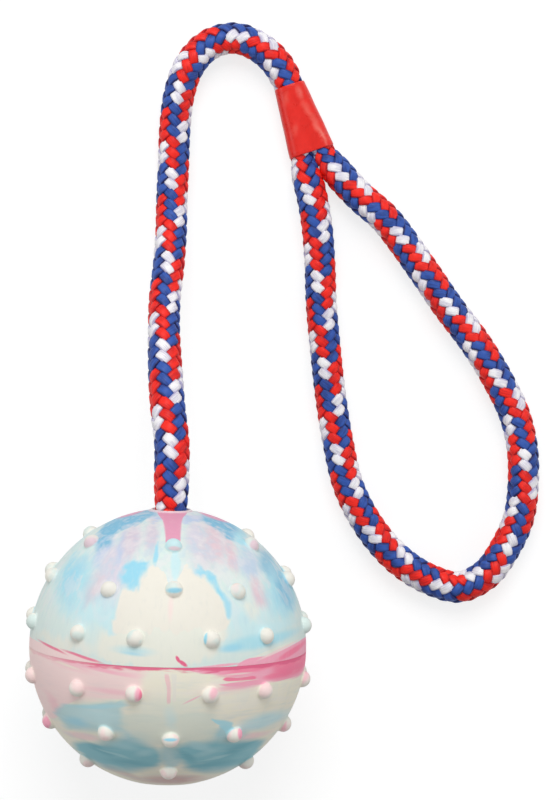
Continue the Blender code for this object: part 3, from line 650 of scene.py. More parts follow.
def half_shell(name, side):
    """The half's skin with round openings for the nubs, its hole and its parting face, about the ball's axes."""
    pole_radius = LIP_FOOT_RADIUS if side > 0 else RECESS_MOUTH_RADIUS + 2 * RECESS_LIP_RADIUS
    equator = ring(math.sqrt(BALL_RADIUS**2 - SEAM_GAP**2), side * SEAM_GAP)
    pole = ring(pole_radius, side * math.sqrt(BALL_RADIUS**2 - pole_radius**2))
    turns = nub_turns(side)
    rim = [
        Vector((math.sin(RIM_ANGLE) * math.cos(t), math.sin(RIM_ANGLE) * math.sin(t), math.cos(RIM_ANGLE)))
        for t in np.linspace(0, math.tau, NUB_SEGMENTS, endpoint=False)
    ]
    loops = [equator, pole] + [[turn @ p * BALL_RADIUS for p in rim] for turn in turns]

    # Free points between the openings, in an even spiral
    free = []
    count = int(math.tau * BALL_RADIUS**2 / FREE_SPACING**2)
    nubs = [turn @ Vector((0, 0, 1)) for turn in turns]
    for k in range(count):
        z = (k + 0.5) / count
        flat = math.sqrt(1 - z * z)
        angle = k * math.pi * (3 - math.sqrt(5))
        point = Vector((flat * math.cos(angle), flat * math.sin(angle), side * z))
        if z * BALL_RADIUS < EQUATOR_MARGIN or flat * BALL_RADIUS < pole_radius + FREE_MARGIN:
            continue
        if all(point.angle(nub) > RIM_ANGLE + FREE_MARGIN / BALL_RADIUS for nub in nubs):
            free.append(point * BALL_RADIUS)

    points, edges, owner = [], [], []
    for number, loop in enumerate(loops):
        first = len(points)
        points += loop
        owner += [number] * len(loop)
        edges += [(first + k, first + (k + 1) % len(loop)) for k in range(len(loop))]
    points += free
    owner += [-1] * len(free)
    flat = [Vector((p.x, p.y)) / (BALL_RADIUS + side * p.z) for p in points]
    found = delaunay_2d_cdt(flat, edges, [], 0, 1e-9)
    if len(found[0]) != len(points):
        raise RuntimeError(f"{name}: the skin's points ran together")
    faces = []
    for face in found[2]:
        corners = [found[3][v][0] for v in face]
        owners = {owner[corner] for corner in corners}
        if len(owners) > 1 or owners in ({-1}, {0}):
            faces.append(corners[::side])

    rings = [range(RING_SEGMENTS, 2 * RING_SEGMENTS)]
    for radius, height in inner_outline(side):
        rings.append(range(len(points), len(points) + RING_SEGMENTS))
        points += ring(radius, height)
    rings.append(range(RING_SEGMENTS))
    for one, other in zip(rings, rings[1:]):
        faces += band(one, other)

    # One loose point for each nub, with the nub's turn
    mesh = bpy.data.meshes.new(name)
    mesh.from_pydata([tuple(p) for p in points] + [(0.0, 0.0, 0.0)] * len(turns), [], faces)
    store(mesh, "nub_place", [0.0] * len(points) + [1.0] * len(turns))
    store(mesh, "nub_turn", [(0.0, 0.0, 0.0)] * len(points) + [tuple(turn.to_euler("XYZ")) for turn in turns])
    return new_piece(name, mesh)


def nub_tree():
    """The tree that sets a nub in every round opening of a ball half and joins it to the skin."""
    tree, add, ask = new_tree("nubs on the ball", {"Nub": "Object", "Join distance": "Float", "Rubber": "Material"})
    is_nub = add(NAMED, {"Name": "nub_place"}, "FLOAT")
    wanted = {"Geometry": ask["Geometry"], "Selection": is_nub}
    apart = add("GeometryNodeSeparateGeometry", wanted, domain="POINT")
    rotation = add("FunctionNodeEulerToRotation", {"Euler": add(NAMED, {"Name": "nub_turn"}, "FLOAT_VECTOR")})
    nub = add("GeometryNodeObjectInfo", {"Object": ask["Nub"]}, transform_space="ORIGINAL").outputs["Geometry"]
    wanted = {"Points": apart.outputs["Selection"], "Instance": nub, "Rotation": rotation}
    nubs = add("GeometryNodeInstanceOnPoints", wanted)
    both = add("GeometryNodeJoinGeometry", [[nubs, apart.outputs["Inverted"]]])
    real = add("GeometryNodeRealizeInstances", [both])
    joined = add("GeometryNodeMergeByDistance", {"Geometry": real, "Distance": ask["Join distance"]})
    smooth = add("GeometryNodeSetShadeSmooth", {"Geometry": joined})
    add("NodeGroupOutput", [add("GeometryNodeSetMaterial", {"Geometry": smooth, "Material": ask["Rubber"]})])
    return tree


def ball_half(name, side, node, material):
    nub = nub_form()
    values = {"Nub": nub, "Join distance": 0.01 * MM, "Rubber": material}
    half = grown(half_shell(name, side), nub_tree(), values)
    bpy.data.objects.remove(nub)
    face_outwards(half.data)
    half.data.transform(ball_place())
    half.data.set_sharp_from_angle(angle=math.radians(60))
    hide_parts(node)
    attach(half, "ball")


# The rubber's colours, and a pinkish brown painted shade for the ball's bottom rim
RUBBER = {
    "cream": "#F4F0E4", "green cream": "#F1F2E6", "mint": "#E0F0EB", "aqua": "#D0F0F4", "sky": "#B4E8F4",
    "bright sky": "#A2E0F4", "deep sky": "#82C2E0", "periwinkle": "#C3D3EE", "lilac": "#E0DCE8", "mauve": "#DDD2DF",
    "blush": "#EAD2DA", "pink": "#EBA4BF", "rose": "#F06C92", "shell": "#FFE2E0", "warm pink": "#FFB2C8",
    "hot pink": "#FF84A6", "ivory": "#FAF5E2", "stone": "#E6EDE0", "dusk": "#D6B0AC", "slate": "#B6DEE4",
    "teal": "#8AC8D4", "deep teal": "#72B4C2", "nub": "#F6F3E9",
}

# The marbling of the side that faces up, laid on in this order: broad washes, patches, and small marks. Lengths
# are in thousandths of the ball's radius, as the camera sees them across and up the ball. A smear has its colour,
# its strength, how much of it is soft edge, its place, its tilt in degrees, and its half length and half width. A
# patch has its colour, its strength, its edge's half width in ball radii, and the points of its outline
SMEAR_NUMBERS = 5
UPPER_WASHES = (
    ("aqua", 0.8, 0.8, 580, 200, 8, 420, 220), ("aqua", 1.0, 0.7, -520, 260, -14, 400, 200),
    ("green cream", 0.9, 0.8, -740, 20, -8, 360, 80), ("lilac", 1.0, 0.8, -400, 560, 76, 340, 200),
    ("mauve", 0.8, 0.8, 300, 740, 104, 260, 240), ("periwinkle", 0.9, 0.8, -470, 700, 66, 200, 80),
    ("periwinkle", 0.8, 0.8, -335, 720, 76, 160, 35), ("mauve", 1.0, 0.8, -260, 770, 78, 180, 110),
    ("mauve", 0.9, 0.8, -120, 800, 86, 180, 80), ("blush", 0.9, 0.9, -540, 420, 64, 180, 90),
    ("sky", 0.9, 0.9, -670, 480, 66, 320, 210), ("bright sky", 0.8, 0.9, -700, 500, 62, 240, 110),
    ("deep sky", 1.0, 0.7, -455, 810, 62, 130, 85), ("deep sky", 1.0, 0.6, -375, 885, 36, 160, 75),
    ("deep sky", 1.0, 0.5, -250, 925, 18, 200, 60), ("deep sky", 0.8, 0.7, -140, 945, 6, 120, 30),
    ("periwinkle", 0.9, 0.8, -80, 925, 0, 80, 35), ("lilac", 0.9, 0.8, 190, 800, 96, 160, 80),
    ("blush", 0.9, 0.8, 340, 740, 110, 180, 70), ("blush", 1.0, 0.8, 460, 660, 110, 180, 60),
    ("periwinkle", 0.9, 0.7, 200, 930, 4, 160, 45), ("deep sky", 1.0, 0.6, 330, 900, -22, 130, 55),
    ("deep sky", 1.0, 0.6, 440, 850, -34, 140, 65), ("sky", 1.0, 0.7, 530, 760, -56, 120, 60),
    ("periwinkle", 0.7, 0.8, 590, 580, -58, 180, 110), ("green cream", 0.8, 0.8, 600, 290, -52, 120, 90),
    ("blush", 1.0, 0.8, 660, 380, -66, 170, 65), ("deep sky", 0.8, 0.8, 730, 580, -60, 200, 80),
    ("sky", 1.0, 0.8, 820, 380, -72, 280, 150), ("deep sky", 0.8, 0.8, 840, 410, -70, 200, 80),
    ("mint", 0.9, 0.7, 960, 180, 98, 160, 50),
)
UPPER_PATCHES = (
    ("green cream", 1.0, 0.04, -470, 110, -300, 140, 440, 120, 380, 40, 330, -40, 260, -100, 50, -170, -300, -140,
     -500, -90, -520, 10),
    ("cream", 1.0, 0.014, -400, 170, -370, 250, -355, 330, -330, 380, -280, 405, -220, 420, -200, 460, -170, 520,
     -130, 570, -80, 585, -40, 570, -20, 520, -10, 460, 30, 430, 80, 470, 100, 570, 170, 585, 220, 530, 280, 480,
     330, 420, 360, 360, 400, 320, 420, 250, 450, 180, 450, 130, 360, 115, 100, 100, -200, 120, -360, 120),
    ("bright sky", 1.0, 0.03, -140, 640, -210, 620, -280, 600, -350, 530, -330, 440, -280, 410, -215, 430, -185, 500,
     -150, 560),
    ("aqua", 0.9, 0.5, 55, 600, 90, 140, 42), ("bright sky", 0.9, 0.8, 245, 560, -32, 90, 28),
    ("bright sky", 1.0, 0.8, 320, 490, -50, 100, 32), ("bright sky", 1.0, 0.8, 385, 385, -58, 110, 32),
    ("bright sky", 0.8, 0.8, 435, 285, -78, 100, 30), ("bright sky", 0.9, 0.6, -85, 670, 84, 100, 22),
)
UPPER_MARKS = (
    ("pink", 1.0, 0.01, -100, 985, -62, 965, -42, 930, -28, 880, -20, 820, -12, 750, 40, 740, 90, 750, 94, 840, 98,
     890, 108, 930, 130, 965, 170, 985, 40, 1000),
    ("pink", 0.9, 0.6, -270, 962, 16, 170, 16), ("pink", 0.9, 0.6, 330, 940, -20, 180, 16),
    ("aqua", 0.9, 0.7, 720, 130, 8, 280, 60), ("sky", 0.9, 0.7, 600, 30, 8, 260, 75),
    ("sky", 0.9, 0.8, 780, 60, 14, 240, 55), ("bright sky", 0.8, 0.8, 460, -10, 8, 120, 40),
    ("green cream", 0.9, 0.7, 740, -35, 18, 260, 20), ("sky", 0.7, 1.0, -250, -30, -4, 210, 50),
    ("bright sky", 0.6, 1.0, -260, -52, -6, 130, 18), ("shell", 0.5, 0.9, 20, 280, 88, 140, 30),
    ("rose", 1.0, 0.5, 72, -92, -62, 34, 15), ("rose", 1.0, 0.5, 108, -122, -36, 48, 18),
    ("shell", 1.0, 0.012, -1050, 80, -950, 45, -850, 5, -700, -45, -500, -100, -500, -170, -800, -130, -1050, -60),
    ("rose", 0.85, 0.6, -840, -4, -21, 150, 13), ("rose", 0.85, 0.6, -620, -72, -15, 200, 14),
    ("warm pink", 0.9, 0.6, 340, -143, 5, 260, 14),
    ("warm pink", 1.0, 0.012, 1050, 90, 950, 35, 850, -15, 700, -70, 500, -118, 500, -190, 800, -130, 1050, -70),
    ("hot pink", 0.9, 0.6, 900, -35, 26, 160, 30), ("shell", 0.9, 0.6, 800, -28, 21, 200, 14),
)
LOWER_WASHES = (
    ("shell", 0.6, 0.9, 450, -300, 4, 360, 70), ("warm pink", 0.6, 0.8, 560, -270, 9, 280, 30),
    ("aqua", 0.9, 0.7, 680, -540, 8, 280, 90), ("shell", 0.9, 0.7, -620, -645, -4, 200, 40),
    ("shell", 0.9, 0.7, 600, -650, 6, 170, 40), ("slate", 0.8, 0.8, -270, -660, -14, 200, 80),
    ("slate", 0.95, 0.7, 420, -630, -4, 200, 75), ("slate", 0.8, 0.6, 20, -800, 90, 140, 90),
    # The two pinkish brown washes along the bottom rim are painted shade, darker where the ball turns under
    ("dusk", 0.9, 0.8, 30, -965, 0, 340, 60), ("dusk", 0.5, 0.8, -360, -905, -22, 260, 40),
)
LOWER_PATCHES = (
    ("shell", 0.95, 0.05, -1000, -20, -800, -70, -500, -120, -220, -160, -190, -250, -250, -370, -450, -385, -620,
     -380, -740, -400, -800, -500, -900, -500, -1000, -300),
    ("warm pink", 0.5, 0.9, -740, -120, -15, 280, 60), ("warm pink", 0.4, 0.9, -420, -175, -8, 280, 30),
    ("warm pink", 0.4, 0.9, -400, -325, -5, 280, 32), ("warm pink", 0.3, 0.9, -830, -410, -60, 140, 60),
    ("ivory", 0.6, 0.8, -760, -130, -16, 160, 22), ("warm pink", 0.6, 0.8, -520, -155, -12, 340, 24),
    ("warm pink", 1.0, 0.025, 40, -140, 200, -192, 340, -205, 440, -235, 550, -230, 660, -250, 800, -245, 950, -210,
     1050, -100, 1050, 50, 800, 0, 600, -50, 400, -90),
    ("hot pink", 0.8, 0.7, 640, -145, 12, 360, 42), ("hot pink", 0.95, 0.5, 900, -110, 22, 220, 115),
    ("hot pink", 0.8, 0.6, 800, -195, 12, 160, 30), ("ivory", 0.8, 0.7, -120, -270, 0, 120, 90),
    ("slate", 0.8, 0.035, -830, -460, -740, -420, -580, -420, -440, -400, -310, -410, -330, -500, -300, -600, -450,
     -620, -620, -600, -740, -590),
    ("aqua", 0.6, 0.8, -550, -500, 0, 280, 90), ("sky", 0.6, 0.8, -530, -435, 2, 260, 26),
    ("bright sky", 0.6, 0.9, -670, -540, -6, 150, 55), ("stone", 0.6, 0.9, 0, -450, 0, 420, 140),
    ("stone", 0.8, 0.03, -350, -500, -200, -480, 0, -500, 200, -480, 330, -500, 320, -550, 350, -620, 280, -680, 100,
     -725, 0, -700, -100, -720, -300, -650, -350, -550),
    ("aqua", 0.45, 0.9, 20, -520, 90, 120, 70), ("slate", 0.9, 0.6, 430, -600, -30, 120, 40),
    ("sky", 0.9, 0.012, 290, -525, 380, -535, 430, -550, 470, -600, 420, -630, 380, -600, 340, -570),
    ("teal", 0.95, 0.05, -720, -680, -500, -700, -300, -670, -150, -710, -50, -740, -40, -820, -100, -880, -300,
     -900, -470, -870, -620, -790),
    ("teal", 0.95, 0.05, 80, -710, 220, -700, 350, -670, 500, -680, 700, -680, 640, -780, 520, -860, 400, -900, 280,
     -910, 160, -880, 80, -820, 50, -760),
    ("slate", 0.7, 0.9, -330, -710, -10, 220, 45), ("slate", 0.7, 0.9, -160, -765, 14, 140, 40),
    ("slate", 0.8, 0.8, 240, -720, -18, 160, 35), ("slate", 0.6, 0.9, 300, -760, 12, 180, 34),
    ("deep teal", 0.6, 0.9, -520, -735, -26, 180, 35), ("deep teal", 0.6, 1.0, -300, -840, -4, 260, 45),
    ("deep teal", 0.6, 0.9, 140, -790, -40, 120, 40), ("deep teal", 0.7, 1.0, 340, -850, 4, 260, 55),
    ("deep teal", 0.7, 0.9, 520, -740, 24, 200, 50), ("slate", 0.6, 0.7, -400, -775, -16, 180, 14),
    ("slate", 0.6, 0.7, 360, -800, 10, 160, 14),
)
LOWER_MARKS = (
    ("hot pink", 0.95, 0.01, 395, -237, 420, -222, 500, -226, 600, -215, 660, -212, 620, -236, 500, -248, 420, -250),
    ("warm pink", 1.0, 0.012, 340, -278, 450, -263, 600, -245, 720, -236, 700, -262, 550, -285, 400, -287),
    ("warm pink", 0.5, 0.9, 520, -290, 5, 240, 32), ("shell", 0.8, 0.6, 500, -198, 3, 140, 10),
    ("ivory", 0.8, 0.6, 780, -262, 9, 200, 10),
    ("warm pink", 0.5, 0.012, -30, -200, 5, -200, 18, -260, 20, -320, 14, -410, -4, -410, -8, -300, -14, -230),
    ("cream", 1.0, 0.012, 30, -200, 62, -200, 56, -400, 34, -400),
    ("warm pink", 0.6, 0.7, 170, -385, 26, 90, 9),
)
UPPER_NUB_MARKS = (
    ("aqua", 1.0, 0.3, 40, 740, 0, 90, 80), ("blush", 0.9, 0.6, 50, 710, -4, 60, 22),
    ("bright sky", 1.0, 0.6, 50, 410, 0, 75, 26), ("bright sky", 1.0, 0.5, 262, 55, 82, 80, 28),
    ("shell", 0.5, 0.8, 490, 430, 90, 60, 45), ("blush", 1.0, 0.5, -550, 740, 0, 80, 70),
    ("blush", 1.0, 0.5, 625, 730, 90, 60, 40), ("mint", 1.0, 0.4, -970, 150, 90, 100, 80),
    ("mint", 1.0, 0.4, 970, 150, 90, 100, 80),
)
LOWER_NUB_MARKS = (
    ("shell", 0.9, 0.5, -970, -200, 90, 90, 80), ("warm pink", 0.6, 0.6, 970, -200, 90, 90, 80),
    ("shell", 0.9, 0.5, -640, -270, 0, 80, 80), ("shell", 0.9, 0.5, 690, -300, 0, 80, 80),
    ("warm pink", 0.9, 0.6, -210, -340, 80, 80, 40), ("hot pink", 0.9, 0.7, -190, -335, 76, 75, 26),
    ("warm pink", 0.7, 0.7, 330, -330, 70, 70, 40), ("warm pink", 1.0, 0.5, -870, -540, 66, 80, 45),
    ("warm pink", 0.7, 0.6, 820, -560, 110, 90, 50), ("warm pink", 1.0, 0.5, 525, -620, 90, 60, 26),
    ("bright sky", 1.0, 0.6, 20, -668, 0, 65, 16),
)
# What else differs between the halves: the ground's colour, the flow's stretch about the ball's own axes, how the
# gum runs across and up the picture and how much of that is left at the bore, the looser marbling (its pattern,
# where it starts and is full, its colour and strength), how thick the blotches lie and how much of them is left at
# the joint, and the second colour of the nubs
HALVES = {
    1: {
        "ground": "mint", "stretch": (1.0, 1.0, 0.22), "run": (0.4, 2.0, 0.0), "run at bore": 0.4,
        "bands": (
            ("broad", 0.50, 0.56, "cream", 1.0), ("tint", 0.55, 0.62, "sky", 0.95),
            ("tint", 0.66, 0.70, "deep sky", 0.8), ("tint", 0.43, 0.37, "mauve", 0.9),
            ("tint", 0.34, 0.29, "pink", 0.6),
        ),
        "blotches": (0.34, 0.22), "busy at joint": 0.25, "nub mottle": "mint",
        "rows": (UPPER_WASHES, UPPER_PATCHES, UPPER_MARKS, UPPER_NUB_MARKS),
    },
    -1: {
        "ground": "ivory", "stretch": (0.14, 0.14, 1.0), "run": (2.0, 0.4, 0.0), "run at bore": 1.0,
        "bands": (
            ("broad", 0.46, 0.60, "shell", 0.9), ("tint", 0.54, 0.60, "aqua", 0.9), ("low", -0.90, -1.02, "teal", 1.0),
            ("low", -1.10, -1.14, "stone", 1.0), ("low", -0.42, -0.36, "warm pink", 0.9),
        ),
        "blotches": (0.1, 0.06), "busy at joint": 1.0, "nub mottle": "shell",
        "rows": (LOWER_WASHES, LOWER_PATCHES, LOWER_MARKS, LOWER_NUB_MARKS),
    },
}


def seen_on_ball(across, up):
    """The place on the ball, in ball radii from its centre, that the camera sees here on its round outline."""
    camera = Vector(CAMERA_PLACE)
    ahead = (BALL_CENTRE + Vector((across, up, 0)) * BALL_RADIUS - camera).normalized()
    middle = BALL_CENTRE - camera
    near = middle.dot(ahead)
    short = near**2 - middle.length_squared + BALL_RADIUS**2
    hit = camera + ahead * (near - math.sqrt(max(short, 0.0)))
    return (hit - BALL_CENTRE) / BALL_RADIUS


def reaches(outline, count=48):
    """An outline's middle, and how far it reaches from there at even angles, starting and ending on the left."""
    points = np.array([seen_on_ball(*point)[:2] for point in outline])
    middle = (points.min(axis=0) + points.max(axis=0)) / 2
    starts = points - middle
    steps = np.roll(starts, -1, axis=0) - starts
    found = []
    for angle in np.linspace(-math.pi, math.pi, count + 1):
        x, y = math.cos(angle), math.sin(angle)
        crossing = steps[:, 0] * y - steps[:, 1] * x
        crossing[crossing == 0] = 1e-9
        share = (x * starts[:, 1] - y * starts[:, 0]) / crossing
        far = (starts + steps * share[:, None]) @ (x, y)
        found.append(max(far[(share >= 0) & (share <= 1)], default=0.0))
    return middle, found


def smear(add, color, flat, paint, strength, soft, place, tilt, long, wide):
    """The colour with one long soft spot over it."""
    spot = {"Location": place, "Rotation": (0.0, 0.0, math.radians(tilt)), "Scale": (long, wide, 1.0)}
    far = add(VECTOR, [add(MAPPING, {"Vector": flat, **spot}, "TEXTURE")], "LENGTH")
    return laid_over(add, color, paint, [far, 1.0 - soft, 1.0, strength, 0.0])


def patch(add, color, flat, paint, strength, soft, outline):
    """The colour with one patch over it, whose outline is a curve of how far it reaches at each angle."""
    middle, reach = reaches(outline)
    size = max(reach) * 1.05
    off = add(VECTOR, [flat, (*middle, 0.0)], "SUBTRACT")
    part = add(SPLIT, [off])
    angle = add(MATH, [part.outputs[1], part.outputs[0]], "ARCTAN2")
    edge = add("ShaderNodeFloatCurve", {"Value": add(MATH, [angle, 1 / math.tau, 0.5], "MULTIPLY_ADD")})
    points = edge.mapping.curves[0].points
    while len(points) < len(reach):
        points.new(0.5, 0.5)
    for k, far in enumerate(reach):
        points[k].location = (k / (len(reach) - 1), far / size)
    edge.mapping.update()
    past = add(MATH, [edge, -size, add(VECTOR, [off], "LENGTH")], "MULTIPLY_ADD")
    return laid_over(add, color, paint, [past, -soft, soft, strength, 0.0])


def marbled(add, color, flat, rows, paints):
    """The colour with the rows' smears and patches of marbling laid over it, each on the one before."""
    for paint, strength, soft, *form in rows:
        if len(form) == SMEAR_NUMBERS:
            across, up, tilt, long, wide = form
            place = (*seen_on_ball(across / 1000, up / 1000)[:2], 0.0)
            color = smear(add, color, flat, paints[paint], strength, soft, place, tilt, long / 1000, wide / 1000)
        else:
            outline = [(across / 1000, up / 1000) for across, up in zip(form[::2], form[1::2])]
            color = patch(add, color, flat, paints[paint], strength, soft, outline)
    return color


def rubber_material(name, settings, side):
    """Natural rubber, moulded from two or three colours that are only half mixed.

    The colours smear along the bore in the upper half and round it in the lower one, with feathered ends. The
    skin is satin, with a very fine orange peel. A pinkish brown wash along the lower half's bottom rim is painted
    shade.
    """
    half = HALVES[side]
    paints = {label: srgb(code) for label, code in RUBBER.items()}
    paints.update({label: tuple(getattr(settings, label)) for label in ("cream", "sky", "pink", "nub")})
    plain = paints[half["ground"]]
    washes, patches, marks, nub_marks = half["rows"]
    material, add = new_material(name)
    here = add("ShaderNodeTexCoord").outputs["Object"]
    wanted = {"Vector": here, "Location": BALL_CENTRE, "Scale": (BALL_RADIUS, BALL_RADIUS, BALL_RADIUS)}
    level = add(MAPPING, wanted, "TEXTURE")
    own = add(MAPPING, {**wanted, "Rotation": tuple(ball_place().to_euler())}, "TEXTURE")
    height = add(SPLIT, [own]).outputs[2]

    # The flow, fine across the smears and long along them
    flow = add(VECTOR, [own, half["stretch"]], "MULTIPLY")
    from_bore = add(VECTOR, [add(VECTOR, [own, (1.0, 1.0, 0.0)], "MULTIPLY")], "LENGTH")
    # How far the gum has run along the flow, more for the washes and patches than for the small marks
    calmer = add(RANGE, [from_bore, 0.15, 0.60, half["run at bore"], 1.0])
    drifts = []
    for scale, push in ((7.0, 0.07), (15.0, 0.06), (5.0, 0.008)):
        swirl = add(NOISE, {"Vector": flow, "Scale": scale, "Detail": 2.0})
        swirl = add(VECTOR, [swirl.outputs["Color"], (0.5, 0.5, 0.5)], "SUBTRACT")
        swirl = add(VECTOR, [swirl, tuple(push * share for share in half["run"])], "MULTIPLY")
        drifts.append(add(VECTOR, {0: swirl, "Scale": calmer}, "SCALE"))
    flowing = add(VECTOR, [add(VECTOR, [level, drifts[0]], "ADD"), drifts[1]], "ADD")
    calm = add(VECTOR, [level, drifts[2]], "ADD")

    # The ground, with the looser marbling of the sides and the back
    tint = add(NOISE, {"Vector": flow, "Scale": 1.9, "Detail": 2.0, "Distortion": 0.3})
    broad = add(NOISE, {"Vector": own, "Scale": 1.7, "Detail": 1.0})
    patterns = {"tint": tint, "broad": broad}
    if side < 0:
        patterns["low"] = add(MATH, [broad, -0.5, height], "MULTIPLY_ADD")
    color = plain
    for pattern, start, end, paint, strength in half["bands"]:
        color = laid_over(add, color, paints[paint], [patterns[pattern], start, end, 0.0, strength])
    place = add(SPLIT, [level])
    depth = place.outputs[2]
    color = laid_over(add, color, plain, [depth, -0.15, 0.10, 0.0, 1.0])

    # The side that faces up: flat places of its colours, which fade out where the ball turns under
    under = add(RANGE, [depth, -0.12, 0.0, 1.5, 0.0], "SMOOTHSTEP")
    flat, exact = (add(JOIN, [*add(SPLIT, [gum]).outputs[:2], under]) for gum in (flowing, calm))
    color = marbled(add, color, flat, washes, paints)

    # Blotches and strokes of milkier and of bluer gum through the washes, 3 mm and 1.2 mm wide, and only faint
    # ones near the joint of the upper half
    busy = add(RANGE, [place.outputs[1], 0.15, 0.45, half["busy at joint"], 1.0])
    cloudy = add(VECTOR, [own, (1.0, 1.0, 0.6)], "MULTIPLY")
    blotches = add(NOISE, {"Vector": cloudy, "Scale": 9.0, "Detail": 3.0, "Distortion": 0.5})
    strokes = add(NOISE, {"Vector": flow, "Scale": 20.0, "Detail": 3.0})
    milky, bluish = half["blotches"]
    for pattern, start, end, strength, paint in (
        (blotches, 0.50, 0.62, milky, "#F3EEF0"),
        (blotches, 0.46, 0.36, bluish, "#BCDCEE"),
        (strokes, 0.50, 0.72, 0.24, "#F4F2F0"),
        (strokes, 0.48, 0.30, 0.16, "#B4D6E6"),
    ):
        color = laid_over(add, color, srgb(paint), [pattern, start, end, 0.0, strength], busy)
    color = marbled(add, color, flat, patches, paints)
    color = marbled(add, color, exact, marks, paints)

    # Fainter, finer ones over all of it, 0.7 mm wide
    strokes = add(NOISE, {"Vector": flow, "Scale": 36.0, "Detail": 3.0})
    color = laid_over(add, color, srgb("#FAF8F4"), [strokes, 0.52, 0.75, 0.0, 0.10])
    color = laid_over(add, color, srgb("#A8BCC8"), [strokes, 0.48, 0.25, 0.0, 0.06])

    # Pink gum squeezed out along the joint between the halves, and round the rope's hole
    if side < 0:
        uneven = add(MATH, [strokes, 0.08, -0.04], "MULTIPLY_ADD")
        low = add(MATH, [uneven, height], "SUBTRACT")
        paler = add(RANGE, [place.outputs[0], -0.85, -0.45, 0.25, 1.0])
        color = laid_over(add, color, paints["rose"], [low, 0.014, 0.032, 0.95, 0.0], paler)
    else:
        color = laid_over(add, color, paints["blush"], [from_bore, 0.150, 0.170, 0.8, 0.0])

    # The nubs are pale: their gum came first into the mould
    mottle = add(NOISE, {"Vector": own, "Scale": 7.0, "Detail": 2.0})
    nub_color = laid_over(add, paints["nub"], paints[half["nub mottle"]], [mottle, 0.5, 0.66, 0.0, 0.8])
    nub_color = marbled(add, nub_color, exact, nub_marks, paints)
    color = laid_over(add, color, nub_color, [add(VECTOR, [level], "LENGTH"), 1.004, 1.018, 0.0, 1.0])

    skin = add(NOISE, {"Vector": here, "Scale": 2600.0, "Detail": 2.0})
    finish_material(add, color, skin, 0.25, 0.03 * MM, rough=0.58, ior=1.52, specular=0.25)
    return material


def make_ball(settings):
    upper = rubber_material("marbled natural rubber, upper half", settings, 1)
    lower = rubber_material("marbled natural rubber, lower half", settings, -1)
    ball_half("ball_upper_skin", 1, "ball_upper_half", upper)
    ball_half("ball_lower_skin", -1, "ball_lower_half", lower)


# The sleeve

def sleeve_section(share, wall):
    """The sleeve's outline across it at a share of the way from its mouth to its top: (across, up) points."""
    width, height, corner = (
        (mouth + (top - mouth) * share) - (wall if k == 2 else 2 * wall)
        for k, (mouth, top) in enumerate(zip(SLEEVE_MOUTH, SLEEVE_TOP))
    )
    middle = (SLEEVE_MOUTH[1] + (SLEEVE_TOP[1] - SLEEVE_MOUTH[1]) * share) / 2
    outline = []
    for quarter, (side_x, side_z) in enumerate(((1, -1), (1, 1), (-1, 1), (-1, -1))):
        centre = (side_x * (width / 2 - corner), middle + side_z * (height / 2 - corner))
        outline += arc(centre, corner, (quarter - 1) * 90.0, quarter * 90.0, 12)
    outline = np.array([(x, 0.0, z) for x, z in outline + outline[:1]])
    even = at_distances(outline, np.linspace(0, distances(outline)[-1], SLEEVE_SEGMENTS, endpoint=False))
    lift = np.where(even[:, 2] > middle, -1, 1) * groove(even[:, 0], share)
    return np.stack([even[:, 0], even[:, 2] + lift], axis=1)


def groove(across, share):
    """How far the film's flat sides dip between the two runs of rope: nothing at the top, most at the mouth."""
    dip = 0.42 * np.exp(-((across / (1.5 * MM)) ** 2))
    swell = 0.12 * np.exp(-(((np.abs(across) - 2.6 * MM) / (1.1 * MM)) ** 2))
    return (dip - swell) * MM * (1 - share)


# Painted highlights: lighter streaks along the runs of rope under the film, and one darker streak of painted
# shade down the middle: colour, strength, and the place across and up the sleeve, tilt, half length and half
# width, in millimetres and degrees
PAINTED_LIGHT_AND_SHADE_STREAKS = (
    ("#F46A5E", 0.90, 2.9, 4.0, 100, 5.4, 1.10),
    ("#F88276", 0.70, 3.2, 2.4, 100, 2.6, 0.55),
    ("#F25C50", 0.85, 1.9, 8.8, 98, 3.4, 1.20),
    ("#F26A60", 0.85, 1.5, 12.9, 88, 2.2, 1.00),
    ("#F0564A", 0.80, -1.6, 12.3, 70, 2.2, 1.10),
    ("#F0564A", 0.70, -1.9, 5.6, 60, 2.2, 1.20),
    ("#DC1C14", 0.50, 0.3, 11.4, 95, 2.4, 0.60),
)


